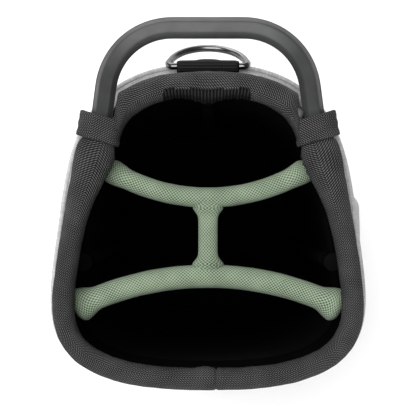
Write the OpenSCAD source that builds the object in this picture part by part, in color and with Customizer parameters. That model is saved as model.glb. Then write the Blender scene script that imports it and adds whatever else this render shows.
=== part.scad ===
// A light golf carry bag, standing upright on its base.
// +Z is up, +Y is the spine side with the carry handle, -Y is the front with the ball pocket.
// The origin is the middle of the flat underside of the base. Millimetres.

/* [Cuff outline] */
// Height of the top of the padded rim above the floor
bag_h = 880; // [700:5:1000]
// Width of the cuff across its middle
cuff_w = 219; // [180:1:280]
// Depth of the cuff from its front to its spine
cuff_d = 238; // [190:1:300]
// Share by which the cuff narrows towards the spine and widens towards the front
cuff_taper = 0.178; // [0:0.01:0.25]

/* [Rim] */
// Width of the padded rim, seen from above
rim_w = 16.5; // [12:0.5:24]
// Height of the padded rim
rim_h = 26; // [20:1:36]
// Thickness of the mesh cover on the rim
rim_skin = 1.1; // [0.8:0.1:2]
// How much wider the rim is where it covers the roots of the handle
root_bulge = 10.5; // [6:0.5:14]
// How much wider the rim is at the finger grip in the middle of the spine side
grip_bulge = 5; // [0:0.5:8]

/* [Collar] */
// Wall of the moulded collar frame
frame_t = 3; // [2:0.1:4]
// Height of the moulded collar frame
frame_h = 137; // [90:1:180]
// Height of the padded band around the outside of the collar
band_h = 90; // [60:1:130]
// How far the band stands proud of the rim at the sides
band_out = 5; // [3:0.5:8]
// How much further it stands out at the spine, and less at the front
band_lift = 3; // [0:0.5:4]

/* [Dividers] */
// Radius of the moulded divider bars
bar_r = 5.5; // [4:0.1:7]
// Outside radius of the mesh sleeve on the spine-side bar and on the post
sleeve_r = 7.7; // [7:0.1:10]
// Outside radius of the mesh sleeve on the front bar
front_sleeve_r = 8.8; // [7.5:0.1:11]
// Height of the bars below the top of the rim
bar_drop = 36; // [34:1:50]
// Bend radius of the spine-side bar, whose middle bows to the front
spine_bar_bend = 143; // [125:1:250]
// Place of the middle of the spine-side bar
spine_bar_y = 25; // [10:1:45]
// Bend radius of the front bar, whose middle bows to the spine
front_bar_bend = 226; // [190:1:400]
// Place of the middle of the front bar
front_bar_y = -35; // [-60:1:-20]
// Thickness of the fabric sheets that separate the wells
sheet_t = 1; // [0.6:0.1:2]
// Clearance between pieces that slide over or into each other
fit = 0.1; // [0.05:0.05:0.3]

/* [Carry handle] */
// Width of the moulded handle bar
handle_w = 15.4; // [12:0.2:17]
// Thickness of the moulded handle bar
handle_t = 11.6; // [9:0.2:14]
// How far the middle of the bow stands out from the rim
bow_out = 29; // [24:1:45]
// Radius of the bends at both ends of the bow
bow_bend = 50; // [40:1:55]
// How much each arm leans outwards on its way down, in degrees
arm_lean = 10; // [4:0.5:12]
// How far the bow stands above the arms
bow_rise = 34; // [10:1:60]
// How far the arms run on inside the rim, in front of where it is widest
arm_tail = 14; // [10:1:18]

/* [Rings] */
// Diameter of the wire of the two rings
wire_d = 5.4; // [4:0.2:7]
// Bend radius of the round side of a ring
ring_r = 29.8; // [26:0.2:34]
// Width of the webbing that holds a ring
webbing_w = 47; // [38:1:50]
// Thickness of one layer of webbing
webbing_t = 1.8; // [1:0.1:2.5]
// Height of the pin of the lower ring
lower_ring_z = 330; // [250:5:380]
// Clearance of a ring's pin in its webbing
pin_clear = 0.1; // [0.05:0.05:0.2]

/* [Body] */
// Thickness of the padded body panels
panel_t = 2.5; // [1.5:0.1:4]
// How far the body's outer face sits inside the rim's outline
body_inset = 4; // [3:0.5:8]
// Thickness of the lining
lining_t = 0.8; // [0.5:0.1:1.5]
// Diameter of the three stays
stay_d = 10; // [8:0.5:14]

/* [Base] */
// Height of the moulded base
base_h = 60; // [40:1:90]
// Wall of the moulded base
base_wall = 2.4; // [1.8:0.1:4]
// Thickness of its floor
base_floor = 4; // [3:0.5:6]
// Height of the step that the panels stand on
ledge_z = 42; // [25:1:55]
// Diameter of the four rubber pads in the underside
pad_d = 26; // [16:1:34]

/* [Pockets] */
// Thickness of the pocket fabric and its backing
pocket_t = 2.5; // [1.5:0.1:4]
// How far the ball pocket stands out from the cuff's outline
ball_out = 48; // [42:1:80]
// How far the left pocket stands out from the cuff's widest outline
left_out = 28.5; // [24.5:0.5:50]
// How far the right pocket stands out
right_out = 34.5; // [24.5:0.5:50]
// How far the open slip pocket stands out
slip_out = 37.5; // [28.5:0.5:50]

/* [Zips] */
// Width of the zip tape
tape_w = 26; // [20:1:32]
// Thickness of the zip tape
tape_t = 0.8; // [0.5:0.1:1.2]
// Width of the zip's coil
coil_w = 5; // [4:0.2:8]
// Height of the zip's coil
coil_h = 1.8; // [1.4:0.1:2.6]
// Length of the pull tab
pull_l = 30; // [20:1:40]
// Radius of the pin that a pull tab swings on
pull_pin_r = 1; // [0.8:0.1:1.4]

/* [Hidden] */
$fn = 64;
eps = 1; // overrun of a cutting tool past the face it cuts

// Colours
mesh_black = [0.20, 0.20, 0.20];
sage = [0.55, 0.63, 0.53];
light_grey = [0.80, 0.81, 0.78];
moulded_black = [0.25, 0.26, 0.26];
gunmetal = [0.45, 0.46, 0.45];
webbing_black = [0.15, 0.15, 0.15];
lining_black = [0.06, 0.06, 0.06];

// The cuff outline: a superellipse that narrows towards the spine.
side_power = 4; // higher keeps the sides straight for longer
end_power = 2.5; // higher flattens the front and the spine side
cuff_steps = 72;

function side(v) = v < 0 ? -1 : 1;
function cuff_raw(a) =
    let (s = sin(a), across = pow(max(0, 1 - pow(abs(s), side_power)), 1 / end_power))
    [side(cos(a)) * across * cuff_w / 2 * (1 - cuff_taper * s), s * cuff_d / 2];
function cuff_normal(a) =
    let (d = cuff_raw(a + 0.5) - cuff_raw(a - 0.5)) [d.y, -d.x] / norm(d);
// The point at angle a, moved out from the rim's outline by out
function cuff(a, out) = cuff_raw(a) + out * cuff_normal(a);
function cuff_arc(a0, a1, out) =
    let (n = max(1, ceil(abs(a1 - a0) / 5)))
    [for (i = [0 : n]) cuff(a0 + (a1 - a0) * i / n, out)];
// The angle at which the outline reaches the height y on the plan
function cuff_angle(y) = asin(y / (cuff_d / 2));

module cuff_prism(out, z0, z1) {
    translate([0, 0, z0])
        linear_extrude(z1 - z0)
            polygon([for (i = [0 : cuff_steps - 1]) cuff(i * 360 / cuff_steps, out)]);
}

module cuff_wall(out, in, z0, z1) {
    difference() {
        cuff_prism(out, z0, z1);
        cuff_prism(in, z0 - eps, z1 + eps);
    }
}

// A stretch of wall from angle a0 to a1
module cuff_stretch(a0, a1, out, in, z0, z1) {
    translate([0, 0, z0])
        linear_extrude(z1 - z0)
            polygon(concat(cuff_arc(a0, a1, out), cuff_arc(a1, a0, in)));
}

// Levels
rim_mid_z = bag_h - rim_h / 2;
rim_low_z = bag_h - rim_h;
frame_out = -(rim_w - frame_t) / 2;
frame_in = frame_out - frame_t;
frame_z0 = bag_h - rim_h / 2 + 5 - frame_h;
frame_z1 = frame_z0 + frame_h;
band_z1 = rim_low_z - 8;
band_z0 = band_z1 - band_h;
panel_out = -body_inset;
panel_in = panel_out - panel_t;
lining_in = panel_in - lining_t;
bar_z = bag_h - bar_drop;
ledge_in = lining_in - 3; // inside of the moulded base's lower part
pad_t = 6; // thickness of the foam pad on its floor

// A surface through rings of points. strip_caps is for C-shaped sections, whose second
// half of points runs back along the first.
module skin(rings, strip_caps = false, loop = false) {
    n = len(rings);
    m = len(rings[0]);
    last = (n - 1) * m;
    spans = loop ? n : n - 1;
    sides = [for (i = [0 : spans - 1], j = [0 : m - 1])
        let (a = i * m + j, b = i * m + (j + 1) % m)
        let (c = ((i + 1) % n) * m + (j + 1) % m, d = ((i + 1) % n) * m + j)
        each [[a, b, c], [a, c, d]]];
    fan = [for (j = [1 : m - 2]) each [[0, j + 1, j], [last, last + j, last + j + 1]]];
    strip = [for (j = [0 : m / 2 - 2])
        let (p = j, q = j + 1, r = m - 2 - j, s = m - 1 - j)
        each [
            [p, r, q], [p, s, r],
            [last + p, last + q, last + r], [last + p, last + r, last + s]
        ]];
    caps = loop ? [] : strip_caps ? strip : fan;
    polyhedron(points = [for (ring = rings) each ring], faces = concat(sides, caps));
}

// ---------------------------------------------------------------- rim

root_y = 0.504 * cuff_d / 2; // where the rim is widest over the handle's roots
root_len = 34; // how quickly that widening fades
grip_len = 14; // the same for the finger grip
open_half = 50; // half of the rim's opening underneath, in degrees
rim_steps = 12; // corners around one side of the C-shaped section
slot_fit = 0.4; // clearance around what the foam is pushed over
slot_crown = 0.5; // how much higher the slot is in its middle
root_swell = 2.2; // how far the rim swells out over the handle's roots
front_rim_end = cuff_angle(root_y + 3.5);
back_rim_end = cuff_angle(0.845 * cuff_d / 2);

function fade(v, len) = exp(-pow(v / len, 2));
// Width of the rim at angle a
function rim_at(a) =
    let (p = cuff_raw(a))
    rim_w + 2 * max(0, sin(a)) + root_bulge * fade(p.y - root_y, root_len)
        + (p.y > 0 ? grip_bulge * fade(p.x, grip_len) : 0);
// How far the rim swells out beyond its outline, over the handle's roots
function rim_swell(a) = root_swell * fade(cuff_raw(a).y - root_y - 6, root_len / 2);
// One side of the C-shaped section at angle a, on an oval set in from the rim by inset
function rim_oval(a, inset) =
    let (w = (rim_at(a) + rim_swell(a)) / 2, h = rim_h / 2)
    [for (j = [0 : rim_steps])
        let (t = -90 + open_half + (360 - 2 * open_half) * j / rim_steps)
        let (c = cuff(a, rim_swell(a) - w + (w - inset) * cos(t)))
        [c.x, c.y, rim_mid_z + (h - inset) * sin(t)]];
// The sides of the foam's slot, which takes the frame's edge and, further back, the arms
function at_arm(a) = a > back_rim_end - 1 && a < 181 - back_rim_end ? 0
    : ease((cuff_raw(a).y - arm_end_y + 30) / 16);
// How far inside the rim's outline the middle of an arm runs
function arm_depth(a) =
    let (p = cuff_raw(a)) (abs(p.x) - arm_x(p.y)) * abs(cuff_normal(a).x);
function slot_near(a) =
    let (edge = frame_out + slot_fit, arm = handle_w / 2 + slot_fit - arm_depth(a))
    edge + (max(edge, arm) - edge) * at_arm(a);
function slot_far(a) =
    let (edge = frame_in - slot_fit, arm = -handle_w / 2 - 3 * slot_fit - arm_depth(a))
    edge + (min(edge, arm) - edge) * at_arm(a);
// The slot's outline, up its outer side, over its top and down its inner side
function rim_slot(a) =
    let (high = frame_z1 + slot_fit, low = rim_mid_z - rim_h / 4, q = rim_steps / 2 - 1)
    [for (j = [0 : rim_steps])
        let (up = min(1, min(j, rim_steps - j) / q), in = min(1, max(0, (j - q) / 2)))
        let (c = cuff(a, slot_near(a) + in * (slot_far(a) - slot_near(a))))
        [c.x, c.y, low + (high - low) * up + (j == rim_steps / 2 ? slot_crown : 0)]];
function reversed(list) = [for (i = [len(list) - 1 : -1 : 0]) list[i]];
// Angles where the two stretches of rim start and end, and their numbers of sections
rim_spans = [
    [180 - front_rim_end, 360 + front_rim_end, 56],
    [back_rim_end, 180 - back_rim_end, 22]
];
function span_angles(s) = [for (j = [0 : s[2]]) s[0] + (s[1] - s[0]) * j / s[2]];

module rim_cover() {
    color(mesh_black)
        for (s = rim_spans)
            skin([for (a = span_angles(s)) concat(rim_oval(a, 0), reversed(rim_oval(a, rim_skin)))],
                strip_caps = true);
}

module rim_foam() {
    color("dimgray")
        for (s = rim_spans)
            skin([for (a = span_angles(s))
                concat(rim_oval(a, rim_skin + fit / 2), reversed(rim_slot(a)))], strip_caps = true);
}

// ---------------------------------------------------------------- carry handle

arm_z = rim_mid_z - 1.5; // level of the arms inside the rim
arm_inset = 13.6; // from the rim's outline in to the middle of an arm
tail_lean = 12; // the arms' ends follow the rim
arm_end_y = root_y - arm_tail;
bow_y = cuff_d / 2 + bow_out;
// Half the width between the arms at the height y on the plan
function arm_x(y) =
    cuff_raw(cuff_angle(root_y)).x - arm_inset - (y - root_y) * tan(y < root_y ? tail_lean : arm_lean);
bend_y = bow_y - bow_bend * (1 - sin(arm_lean)); // where the bends start
bow_flat = 2 * (arm_x(bend_y) - bow_bend * cos(arm_lean));
// Plan of half the handle, from the end of the arm to the middle of the bow
function half_plan() =
    let (arm = [for (i = [0 : 7])
        let (y = arm_end_y + (bend_y - arm_end_y) * i / 8)
        [arm_x(y), y]])
    let (bend = [for (i = [0 : 9])
        let (t = arm_lean + (90 - arm_lean) * i / 9)
        [bow_flat / 2 + bow_bend * cos(t), bow_y - bow_bend + bow_bend * sin(t)]])
    concat(arm, bend, [[bow_flat / 4, bow_y], [0, bow_y]]);
rise_y = root_y + 2; // the arms start to rise here
function ease(t) = let (u = min(1, max(0, t))) u * u * (3 - 2 * u);
function handle_z(y) = arm_z + bow_rise * ease((y - rise_y) / (bow_y - rise_y));
function handle_path() =
    let (half = half_plan(), n = len(half))
    let (right = [for (p = half) [p.x, p.y, handle_z(p.y)]])
    concat(right, [for (i = [n - 2 : -1 : 0]) [-right[i].x, right[i].y, right[i].z]]);
function unit(v) = v / norm(v);
// Rings of a rounded bar, wide w and thick t, along a path
function bar_rings(path, w, t) =
    [for (i = [0 : len(path) - 1])
        let (d = unit(path[min(i + 1, len(path) - 1)] - path[max(i - 1, 0)]))
        let (across = unit(cross(d, [0, 0, 1])), up = cross(across, d))
        [for (j = [0 : 19])
            let (a = j * 18)
            path[i] + across * w / 2 * side(cos(a)) * sqrt(abs(cos(a)))
                + up * t / 2 * side(sin(a)) * sqrt(abs(sin(a)))]];

screw_ys = [arm_end_y + 7, arm_end_y + 21];
screw_head_r = 4;
screw_head_h = 2.2;
screw_r = 2;
seat_z1 = arm_z - handle_t / 2 - 2 * fit; // the arms rest on two seats of the frame
seat_z0 = bar_z + 8.5;
screw_top = arm_z + handle_t / 4;

module at_screws() {
    for (sx = [-1, 1], y = screw_ys)
        translate([sx * arm_x(y), y, arm_z]) children();
}

module carry_handle() {
    color(moulded_black)
        difference() {
            skin(bar_rings(handle_path(), handle_w, handle_t));
            at_screws() cylinder(r = screw_r + fit, h = 2 * handle_t, center = true);
            at_screws() translate([0, 0, screw_top - arm_z]) cylinder(r = screw_head_r + fit, h = handle_t);
        }
}

module handle_screws() {
    color("silver")
        at_screws() {
            translate([0, 0, screw_top - arm_z]) cylinder(r = screw_head_r, h = screw_head_h);
            translate([0, 0, seat_z0 + 1 - arm_z]) cylinder(r = screw_r, h = screw_top - seat_z0);
        }
}

arm_past_y = root_y + 32; // the arms are clear of the frame's wall beyond this

// Blocks over both arms' plans, from y0 to y1 and from z0 to z1
module arm_blocks(half, y0, y1, z0, z1) {
    for (sx = [-1, 1])
        translate([0, 0, z0])
            linear_extrude(z1 - z0)
                polygon([for (c = [[-1, y0], [1, y0], [1, root_y], [1, y1], [-1, y1], [-1, root_y]])
                    [sx * (arm_x(c.y) + c.x * half / cos(arm_lean)), c.y]]);
}

wrap_t = 1.3;
wrap_y0 = root_y + 5;
wrap_y1 = root_y + 27;
wrap_w = 14.6; // half of the wrap's width inside
wrap_open = 40; // half of the wrap's opening underneath, in degrees
wrap_shift = 0.5; // from the middle of the arm out to the wrap's
function wrap_section(y, grow) =
    let (k = 10, h = rim_h / 2 + 1.6)
    [for (j = [0 : k])
        let (t = -90 + wrap_open + (360 - 2 * wrap_open) * j / k)
        [arm_x(y) + wrap_shift + (wrap_w + grow) * cos(t), y, rim_mid_z + (h + grow) * sin(t)]];

module handle_wrap(sx) {
    color(mesh_black)
        scale([sx, 1, 1])
            skin([for (i = [0 : 6])
                let (y = wrap_y1 + (wrap_y0 - wrap_y1) * i / 6)
                concat(wrap_section(y, wrap_t), reversed(wrap_section(y, 0)))],
                strip_caps = true);
}

// ---------------------------------------------------------------- collar

rivet_turn = 10; // from a bar's end to each of its two rivets, as an angle on the wall
rivet_r = 2.2;
rivet_head_r = 4.4;
rivet_head_h = 1.6;
flange_t = 3;
flange_len = 56;
flange_z0 = bar_z - 12;
flange_z1 = rim_low_z - 2;
stay_angles = [90, 192, 348]; // spine, left and right
stay_out = lining_in - stay_d / 2 - 0.4;
socket_wall = 2.4;
socket_h = 34;
stay_z0 = base_floor + 2;
stay_z1 = frame_z0 + socket_h - 6;

// The wall's angle where a bar bent about the point [0, cy] meets the collar frame
function bar_end(cy, bend, from, to) =
    let (misses = [for (a = [from : 0.5 : to]) [abs(norm(cuff(a, frame_in) - [0, cy]) - bend), a]])
    let (least = min([for (m = misses) m[0]]))
    [for (m = misses) if (m[0] == least) m[1]][0];
spine_bar_end = bar_end(spine_bar_y + spine_bar_bend, spine_bar_bend, 0, 60);
front_bar_end = bar_end(front_bar_y - front_bar_bend, front_bar_bend, -60, 0);
bar_ends = [spine_bar_end, 180 - spine_bar_end, front_bar_end, 180 - front_bar_end];

// Puts children on the wall at angle a with +X pointing outwards
module on_wall(a, out, z) {
    n = cuff_normal(a);
    p = cuff(a, out);
    translate([p.x, p.y, z]) rotate([0, 0, atan2(n.y, n.x)]) children();
}

module at_stays(out) {
    for (a = stay_angles)
        translate([cuff(a, out).x, cuff(a, out).y, 0]) children();
}

module at_rivets() {
    for (a = bar_ends, turn = [-rivet_turn, rivet_turn])
        on_wall(a + turn, frame_in, (flange_z0 + flange_z1) / 2) children();
}

module collar_frame() {
    color("black")
        difference() {
            union() {
                cuff_wall(frame_out, frame_in, frame_z0, frame_z1);
                intersection() {
                    cuff_prism(frame_out, seat_z0, seat_z1);
                    arm_blocks(handle_w / 2, arm_end_y, arm_past_y, seat_z0, seat_z1);
                }
                intersection() {
                    cuff_prism(frame_out, frame_z0, frame_z0 + socket_h);
                    at_stays(stay_out)
                        translate([0, 0, frame_z0]) cylinder(r = stay_d / 2 + socket_wall, h = socket_h);
                }
            }
            at_stays(stay_out)
                translate([0, 0, frame_z0 - eps]) cylinder(r = stay_d / 2 + fit, h = stay_z1 - frame_z0 + eps);
            arm_blocks(handle_w / 2 + 2 * fit, arm_end_y - 2 * fit, arm_past_y, seat_z1, bag_h);
            at_rivets() rotate([0, 90, 0]) cylinder(r = rivet_r + fit, h = 20, center = true);
            at_screws() translate([0, 0, seat_z0 + 1 - fit - arm_z]) cylinder(r = screw_r + fit, h = rim_h);
        }
}

module collar_band() {
    color(light_grey)
        translate([0, 0, band_z0])
            linear_extrude(band_h)
                difference() {
                    polygon([for (i = [0 : cuff_steps - 1])
                        let (a = i * 360 / cuff_steps) cuff(a, band_out + band_lift * sin(a))]);
                    polygon([for (i = [0 : cuff_steps - 1])
                        cuff(i * 360 / cuff_steps, frame_out + fit)]);
                }
}

// ---------------------------------------------------------------- dividers

spine_sweep = 120; // more than the bars need: the collar cuts them to length
front_sweep = 80;

module spine_arc(r) {
    translate([0, spine_bar_y + spine_bar_bend, bar_z])
        rotate([0, 0, 270 - spine_sweep / 2])
            rotate_extrude(angle = spine_sweep, $fn = 128) translate([spine_bar_bend, 0]) circle(r);
}

module front_arc(r) {
    translate([0, front_bar_y - front_bar_bend, bar_z])
        rotate([0, 0, 90 - front_sweep / 2])
            rotate_extrude(angle = front_sweep, $fn = 128) translate([front_bar_bend, 0]) circle(r);
}

post_r = bar_r - 0.6;

module post(r) {
    translate([0, spine_bar_y, bar_z])
        rotate([90, 0, 0]) cylinder(r = r, h = spine_bar_y - front_bar_y);
}

module inside_frame(in) {
    intersection() {
        cuff_prism(in, bar_z - 30, bar_z + 30);
        children();
    }
}

module divider_frame() {
    color("black")
        difference() {
            union() {
                inside_frame(frame_in - flange_t / 2) spine_arc(bar_r);
                inside_frame(frame_in - flange_t / 2) front_arc(bar_r);
                post(post_r);
                intersection() {
                    cuff_wall(frame_in, frame_in - flange_t, flange_z0, flange_z1);
                    for (a = bar_ends)
                        on_wall(a, frame_in, (flange_z0 + flange_z1) / 2)
                            cube([20, flange_len, flange_z1 - flange_z0 + 2], center = true);
                }
            }
            at_rivets() rotate([0, 90, 0]) cylinder(r = rivet_r + fit, h = 20, center = true);
            at_rivets()
                translate([-flange_t, 0, 0]) rotate([0, -90, 0]) cylinder(r = rivet_head_r + fit, h = 3);
        }
}

module divider_rivets() {
    color("silver")
        at_rivets()
            rotate([0, 90, 0]) {
                translate([0, 0, -flange_t - rivet_head_h]) cylinder(r = rivet_head_r, h = rivet_head_h);
                translate([0, 0, -flange_t - 1]) cylinder(r = rivet_r, h = flange_t + frame_t + 0.5);
            }
}

module divider_sleeve_spine() {
    color(sage)
        difference() {
            inside_frame(frame_in - flange_t - 1) spine_arc(sleeve_r);
            spine_arc(bar_r + fit);
            post(post_r + fit);
        }
}

module divider_sleeve_front() {
    color(sage)
        difference() {
            inside_frame(frame_in - flange_t - 1) front_arc(front_sleeve_r);
            front_arc(bar_r + fit);
            translate([0, front_bar_y, bar_z])
                rotate([-90, 0, 0]) cylinder(r = post_r + fit, h = spine_bar_y - front_bar_y);
        }
}

module divider_sleeve_post() {
    color(sage)
        difference() {
            post(sleeve_r - 0.3);
            translate([0, eps, 0]) post(post_r + fit);
            translate([0, -eps, 0]) post(post_r + fit);
            spine_arc(sleeve_r + fit);
            front_arc(front_sleeve_r + fit);
        }
}

sheet_z0 = base_floor + pad_t;
sheet_edge = frame_in - flange_t - fit;

// A sheet that hangs from a bar, bent about the point [0, cy], and is sewn in along its sides
module arc_sheet(cy, bend, middle, sweep, top) {
    intersection() {
        cuff_prism(sheet_edge, sheet_z0, top);
        translate([0, cy, sheet_z0])
            rotate([0, 0, middle - sweep / 2])
                rotate_extrude(angle = sweep, $fn = 128)
                    translate([bend - sheet_t / 2, 0]) square([sheet_t, top - sheet_z0]);
    }
}

module well_sheet_spine() {
    color(lining_black)
        arc_sheet(spine_bar_y + spine_bar_bend, spine_bar_bend, 270, spine_sweep, bar_z - sleeve_r);
}

module well_sheet_front() {
    color(lining_black)
        arc_sheet(front_bar_y - front_bar_bend, front_bar_bend, 90, front_sweep, bar_z - front_sleeve_r);
}

module well_sheet_centre() {
    edge = (sheet_t + fit) / 2;
    color(lining_black)
        translate([-sheet_t / 2, front_bar_y + edge, sheet_z0])
            cube([sheet_t, spine_bar_y - front_bar_y - 2 * edge, bar_z - front_sleeve_r - sheet_z0]);
}

// ---------------------------------------------------------------- rings

loop_r = wire_d / 2 + pin_clear + webbing_t;
ring_y = cuff_d / 2 + 5;
ring_z = rim_low_z + 2;
// The upper ring hangs over the top edge of the band, which makes it lean out
ring_edge = [cuff_d / 2 + band_out + band_lift - ring_y, ring_z - band_z1];
ring_lean = atan2(ring_edge.x, ring_edge.y) + asin((wire_d / 2 + fit) / norm(ring_edge));
lower_ring_y = cuff_d / 2 + panel_out + webbing_t + loop_r;

// A ring hanging from its straight pin, which lies along X through the origin
module ring() {
    color(gunmetal)
        union() {
            rotate([0, 90, 0]) cylinder(d = wire_d, h = 2 * ring_r, center = true);
            rotate([90, 0, 0])
                rotate([0, 0, 180])
                    rotate_extrude(angle = 180) translate([ring_r, 0]) circle(d = wire_d);
            for (sx = [-1, 1]) translate([sx * ring_r, 0, 0]) sphere(d = wire_d);
        }
}

module d_ring() {
    translate([0, ring_y, ring_z]) rotate([ring_lean, 0, 0]) ring();
}

module lower_d_ring() {
    translate([0, lower_ring_y, lower_ring_z]) ring();
}

// The fold of webbing around a ring's pin
module webbing_eye() {
    rotate([0, 90, 0]) cylinder(r = loop_r, h = webbing_w, center = true);
}

module ring_loop() {
    tongue_y = cuff_d / 2 + frame_out;
    color(webbing_black)
        difference() {
            translate([0, ring_y, ring_z]) {
                webbing_eye();
                translate([-webbing_w / 2, tongue_y - ring_y + 1, -loop_r + 0.2])
                    cube([webbing_w, ring_y - tongue_y - 1, webbing_t]);
            }
            translate([0, ring_y, ring_z])
                rotate([0, 90, 0]) cylinder(d = wire_d + 2 * pin_clear, h = webbing_w + 2, center = true);
            cuff_prism(frame_out + fit, band_z0, bag_h);
        }
}

module lower_ring_loop() {
    tab_h = 46;
    color(webbing_black)
        difference() {
            union() {
                translate([0, lower_ring_y, lower_ring_z]) webbing_eye();
                translate([-webbing_w / 2, lower_ring_y - loop_r - 6, lower_ring_z])
                    cube([webbing_w, webbing_t + 6, tab_h]);
            }
            translate([0, lower_ring_y, lower_ring_z])
                rotate([0, 90, 0]) cylinder(d = wire_d + 2 * pin_clear, h = webbing_w + 2, center = true);
            cuff_prism(panel_out, ledge_z, band_z0);
        }
}

// ---------------------------------------------------------------- body

spine_seam = 60; // angles of the sewn seams on the right, in steps of 5 like the outline
front_seam = 305;

module panel(a0, a1) {
    color(light_grey) cuff_stretch(a0, a1, panel_out, panel_in, ledge_z, band_z0);
}

module lining() {
    color(lining_black)
        cuff_wall(panel_in - fit / 2, lining_in, ledge_z, frame_z0 - 0.5);
}

module stay(i) {
    p = cuff(stay_angles[i], stay_out);
    color("silver")
        translate([p.x, p.y, stay_z0])
            difference() {
                cylinder(d = stay_d, h = stay_z1 - stay_z0);
                translate([0, 0, -eps]) cylinder(d = stay_d - 2, h = stay_z1 - stay_z0 + 2 * eps);
            }
}

base_out = panel_out + base_wall;
pad_spread = [66, 62]; // places of the four rubber pads
pad_depth = 2;

module at_pads() {
    for (sx = [-1, 1], sy = [-1, 1])
        translate([sx * pad_spread.x, sy * pad_spread.y, 0]) children();
}

module base_tray() {
    color(moulded_black)
        difference() {
            union() {
                difference() {
                    cuff_prism(base_out, 0, base_h);
                    cuff_prism(panel_out + fit / 2, ledge_z, base_h + eps);
                    cuff_prism(ledge_in, base_floor, base_h);
                }
                intersection() {
                    cuff_prism(ledge_in + 0.5, 1, ledge_z);
                    at_stays(stay_out) cylinder(r = stay_d / 2 + socket_wall, h = ledge_z - 8);
                }
            }
            at_stays(stay_out) translate([0, 0, stay_z0]) cylinder(d = stay_d + 2 * fit, h = base_h);
            at_pads() translate([0, 0, -eps]) cylinder(d = pad_d + 2 * fit, h = pad_depth + eps);
        }
}

module base_feet() {
    color("dimgray") at_pads() cylinder(d = pad_d, h = pad_depth);
}

module base_pad() {
    color(lining_black)
        difference() {
            cuff_prism(ledge_in - 0.5, base_floor, base_floor + pad_t);
            at_stays(stay_out) cylinder(r = stay_d / 2 + socket_wall + 0.5, h = base_h);
        }
}

// ---------------------------------------------------------------- pockets

// Upright box from low to high corner with rounded vertical edges
module rounded_box(low, high, r) {
    translate([0, 0, low.z])
        linear_extrude(high.z - low.z)
            polygon([for (q = [0 : 3], i = [0 : 5])
                let (sx = q == 0 || q == 3 ? 1 : -1, sy = q < 2 ? 1 : -1, t = 90 * q + 18 * i)
                let (cx = sx > 0 ? high.x - r : low.x + r, cy = sy > 0 ? high.y - r : low.y + r)
                [cx + r * cos(t), cy + r * sin(t)]]);
}

// A pocket sewn onto the body, which is its back wall
module pocket(low, high, r, open_top = false) {
    t = [pocket_t, pocket_t, pocket_t];
    inner_high = open_top ? [high.x - pocket_t, high.y - pocket_t, high.z + eps] : high - t;
    color(light_grey)
        difference() {
            rounded_box(low, high, r);
            rounded_box(low + t, inner_high, r - pocket_t);
            cuff_prism(panel_out, ledge_z, band_z0);
        }
}

side_y = [-90, 42]; // front and back of the side pockets
front_y = -cuff_d / 2; // the pockets' faces are placed out from here and from the sides
side_x = cuff_w / 2;
ball_box = [[-92, front_y - ball_out, 78], [92, -60, 305]];
accessory_box = [[-70, front_y - ball_out + 27, 325], [70, -60, 465]];
valuables_box = [[-60, front_y - ball_out + 37, 485], [60, -60, 605]];
left_box = [[-side_x - left_out, side_y[0], 78], [-60, side_y[1], 560]];
right_box = [[60, side_y[0], 78], [side_x + right_out, side_y[1], 395]];
slip_box = [[60, side_y[0] + 14, 415], [side_x + slip_out, side_y[1] - 8, 575]];

// Zips. A zip's own frame has +X across the tape's plane to the right, +Z up and -Y out
// of the pocket. An upright zip runs along Z and a level one along X.
zip_y = -45; // place of the upright zips on the side pockets
zip_inset = 22; // from a pocket's top edge to a level zip
level_half = 60;
slider_l = 11;
slider_w = coil_w + 3.6;
slider_h = 4.4;
slider_lift = 0.3;
eye_gap = 4.2;
lug_t = 1.4;
pull_eye_r = 2.1;
pin_out = slider_h + pull_eye_r + 0.5; // height of the pull's pin above the tape
pull_w = 8.5;
pull_t = 1.6;
pull_neck = eye_gap - 0.8;

// Puts a zip's frame on a face: side 0 is the front, 1 the left and 2 the right
module on_face(face, at) {
    translate(at) rotate([0, 0, face == 0 ? 0 : face == 1 ? -90 : 90]) children();
}

module zip(upright, half) {
    turn = upright ? 0 : 90;
    color("black")
        rotate([0, turn, 0]) {
            translate([-tape_w / 2, -tape_t, -half]) cube([tape_w, tape_t, 2 * half]);
            translate([-coil_w / 2, -tape_t - coil_h, -half + 2]) cube([coil_w, coil_h, 2 * half - 4]);
            for (sz = [-1, 1]) translate([-coil_w / 2 - 0.6, -tape_t - coil_h - 0.2, sz * (half - 1) - 1])
                cube([coil_w + 1.2, coil_h + 0.2, 2]);
        }
}

module slider(upright) {
    turn = upright ? 0 : 90;
    color(gunmetal)
        translate([0, -tape_t, 0])
            union() {
                rotate([0, turn, 0])
                    difference() {
                        translate([-slider_w / 2, -slider_h, -slider_l / 2])
                            cube([slider_w, slider_h - slider_lift, slider_l]);
                        translate([-coil_w / 2 - 0.4, -coil_h - 0.4, -slider_l])
                            cube([coil_w + 0.8, coil_h + 0.4, 2 * slider_l]);
                    }
                for (sx = [-1, 1])
                    translate([sx * (eye_gap + lug_t) / 2 - lug_t / 2, -pin_out - pull_pin_r - 0.4, -2.2])
                        cube([lug_t, pin_out + pull_pin_r + 0.4 - slider_h + 0.2, 4.4]);
                translate([0, -pin_out, 0])
                    rotate([0, 90, 0]) cylinder(r = pull_pin_r, h = eye_gap + lug_t, center = true);
            }
}

module pull() {
    color(sage)
        translate([0, -tape_t - pin_out, 0])
            difference() {
                union() {
                    rotate([0, 90, 0]) cylinder(r = pull_eye_r, h = pull_neck, center = true);
                    translate([-pull_neck / 2, -pull_t / 2, -slider_l / 2 - 3])
                        cube([pull_neck, pull_t, slider_l / 2 + 3]);
                    translate([-pull_w / 2, -pull_t / 2, -pull_l]) cube([pull_w, pull_t, pull_l - slider_l / 2 - 2]);
                }
                rotate([0, 90, 0]) cylinder(r = pull_pin_r + fit, h = 2 * eye_gap, center = true);
            }
}

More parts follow.
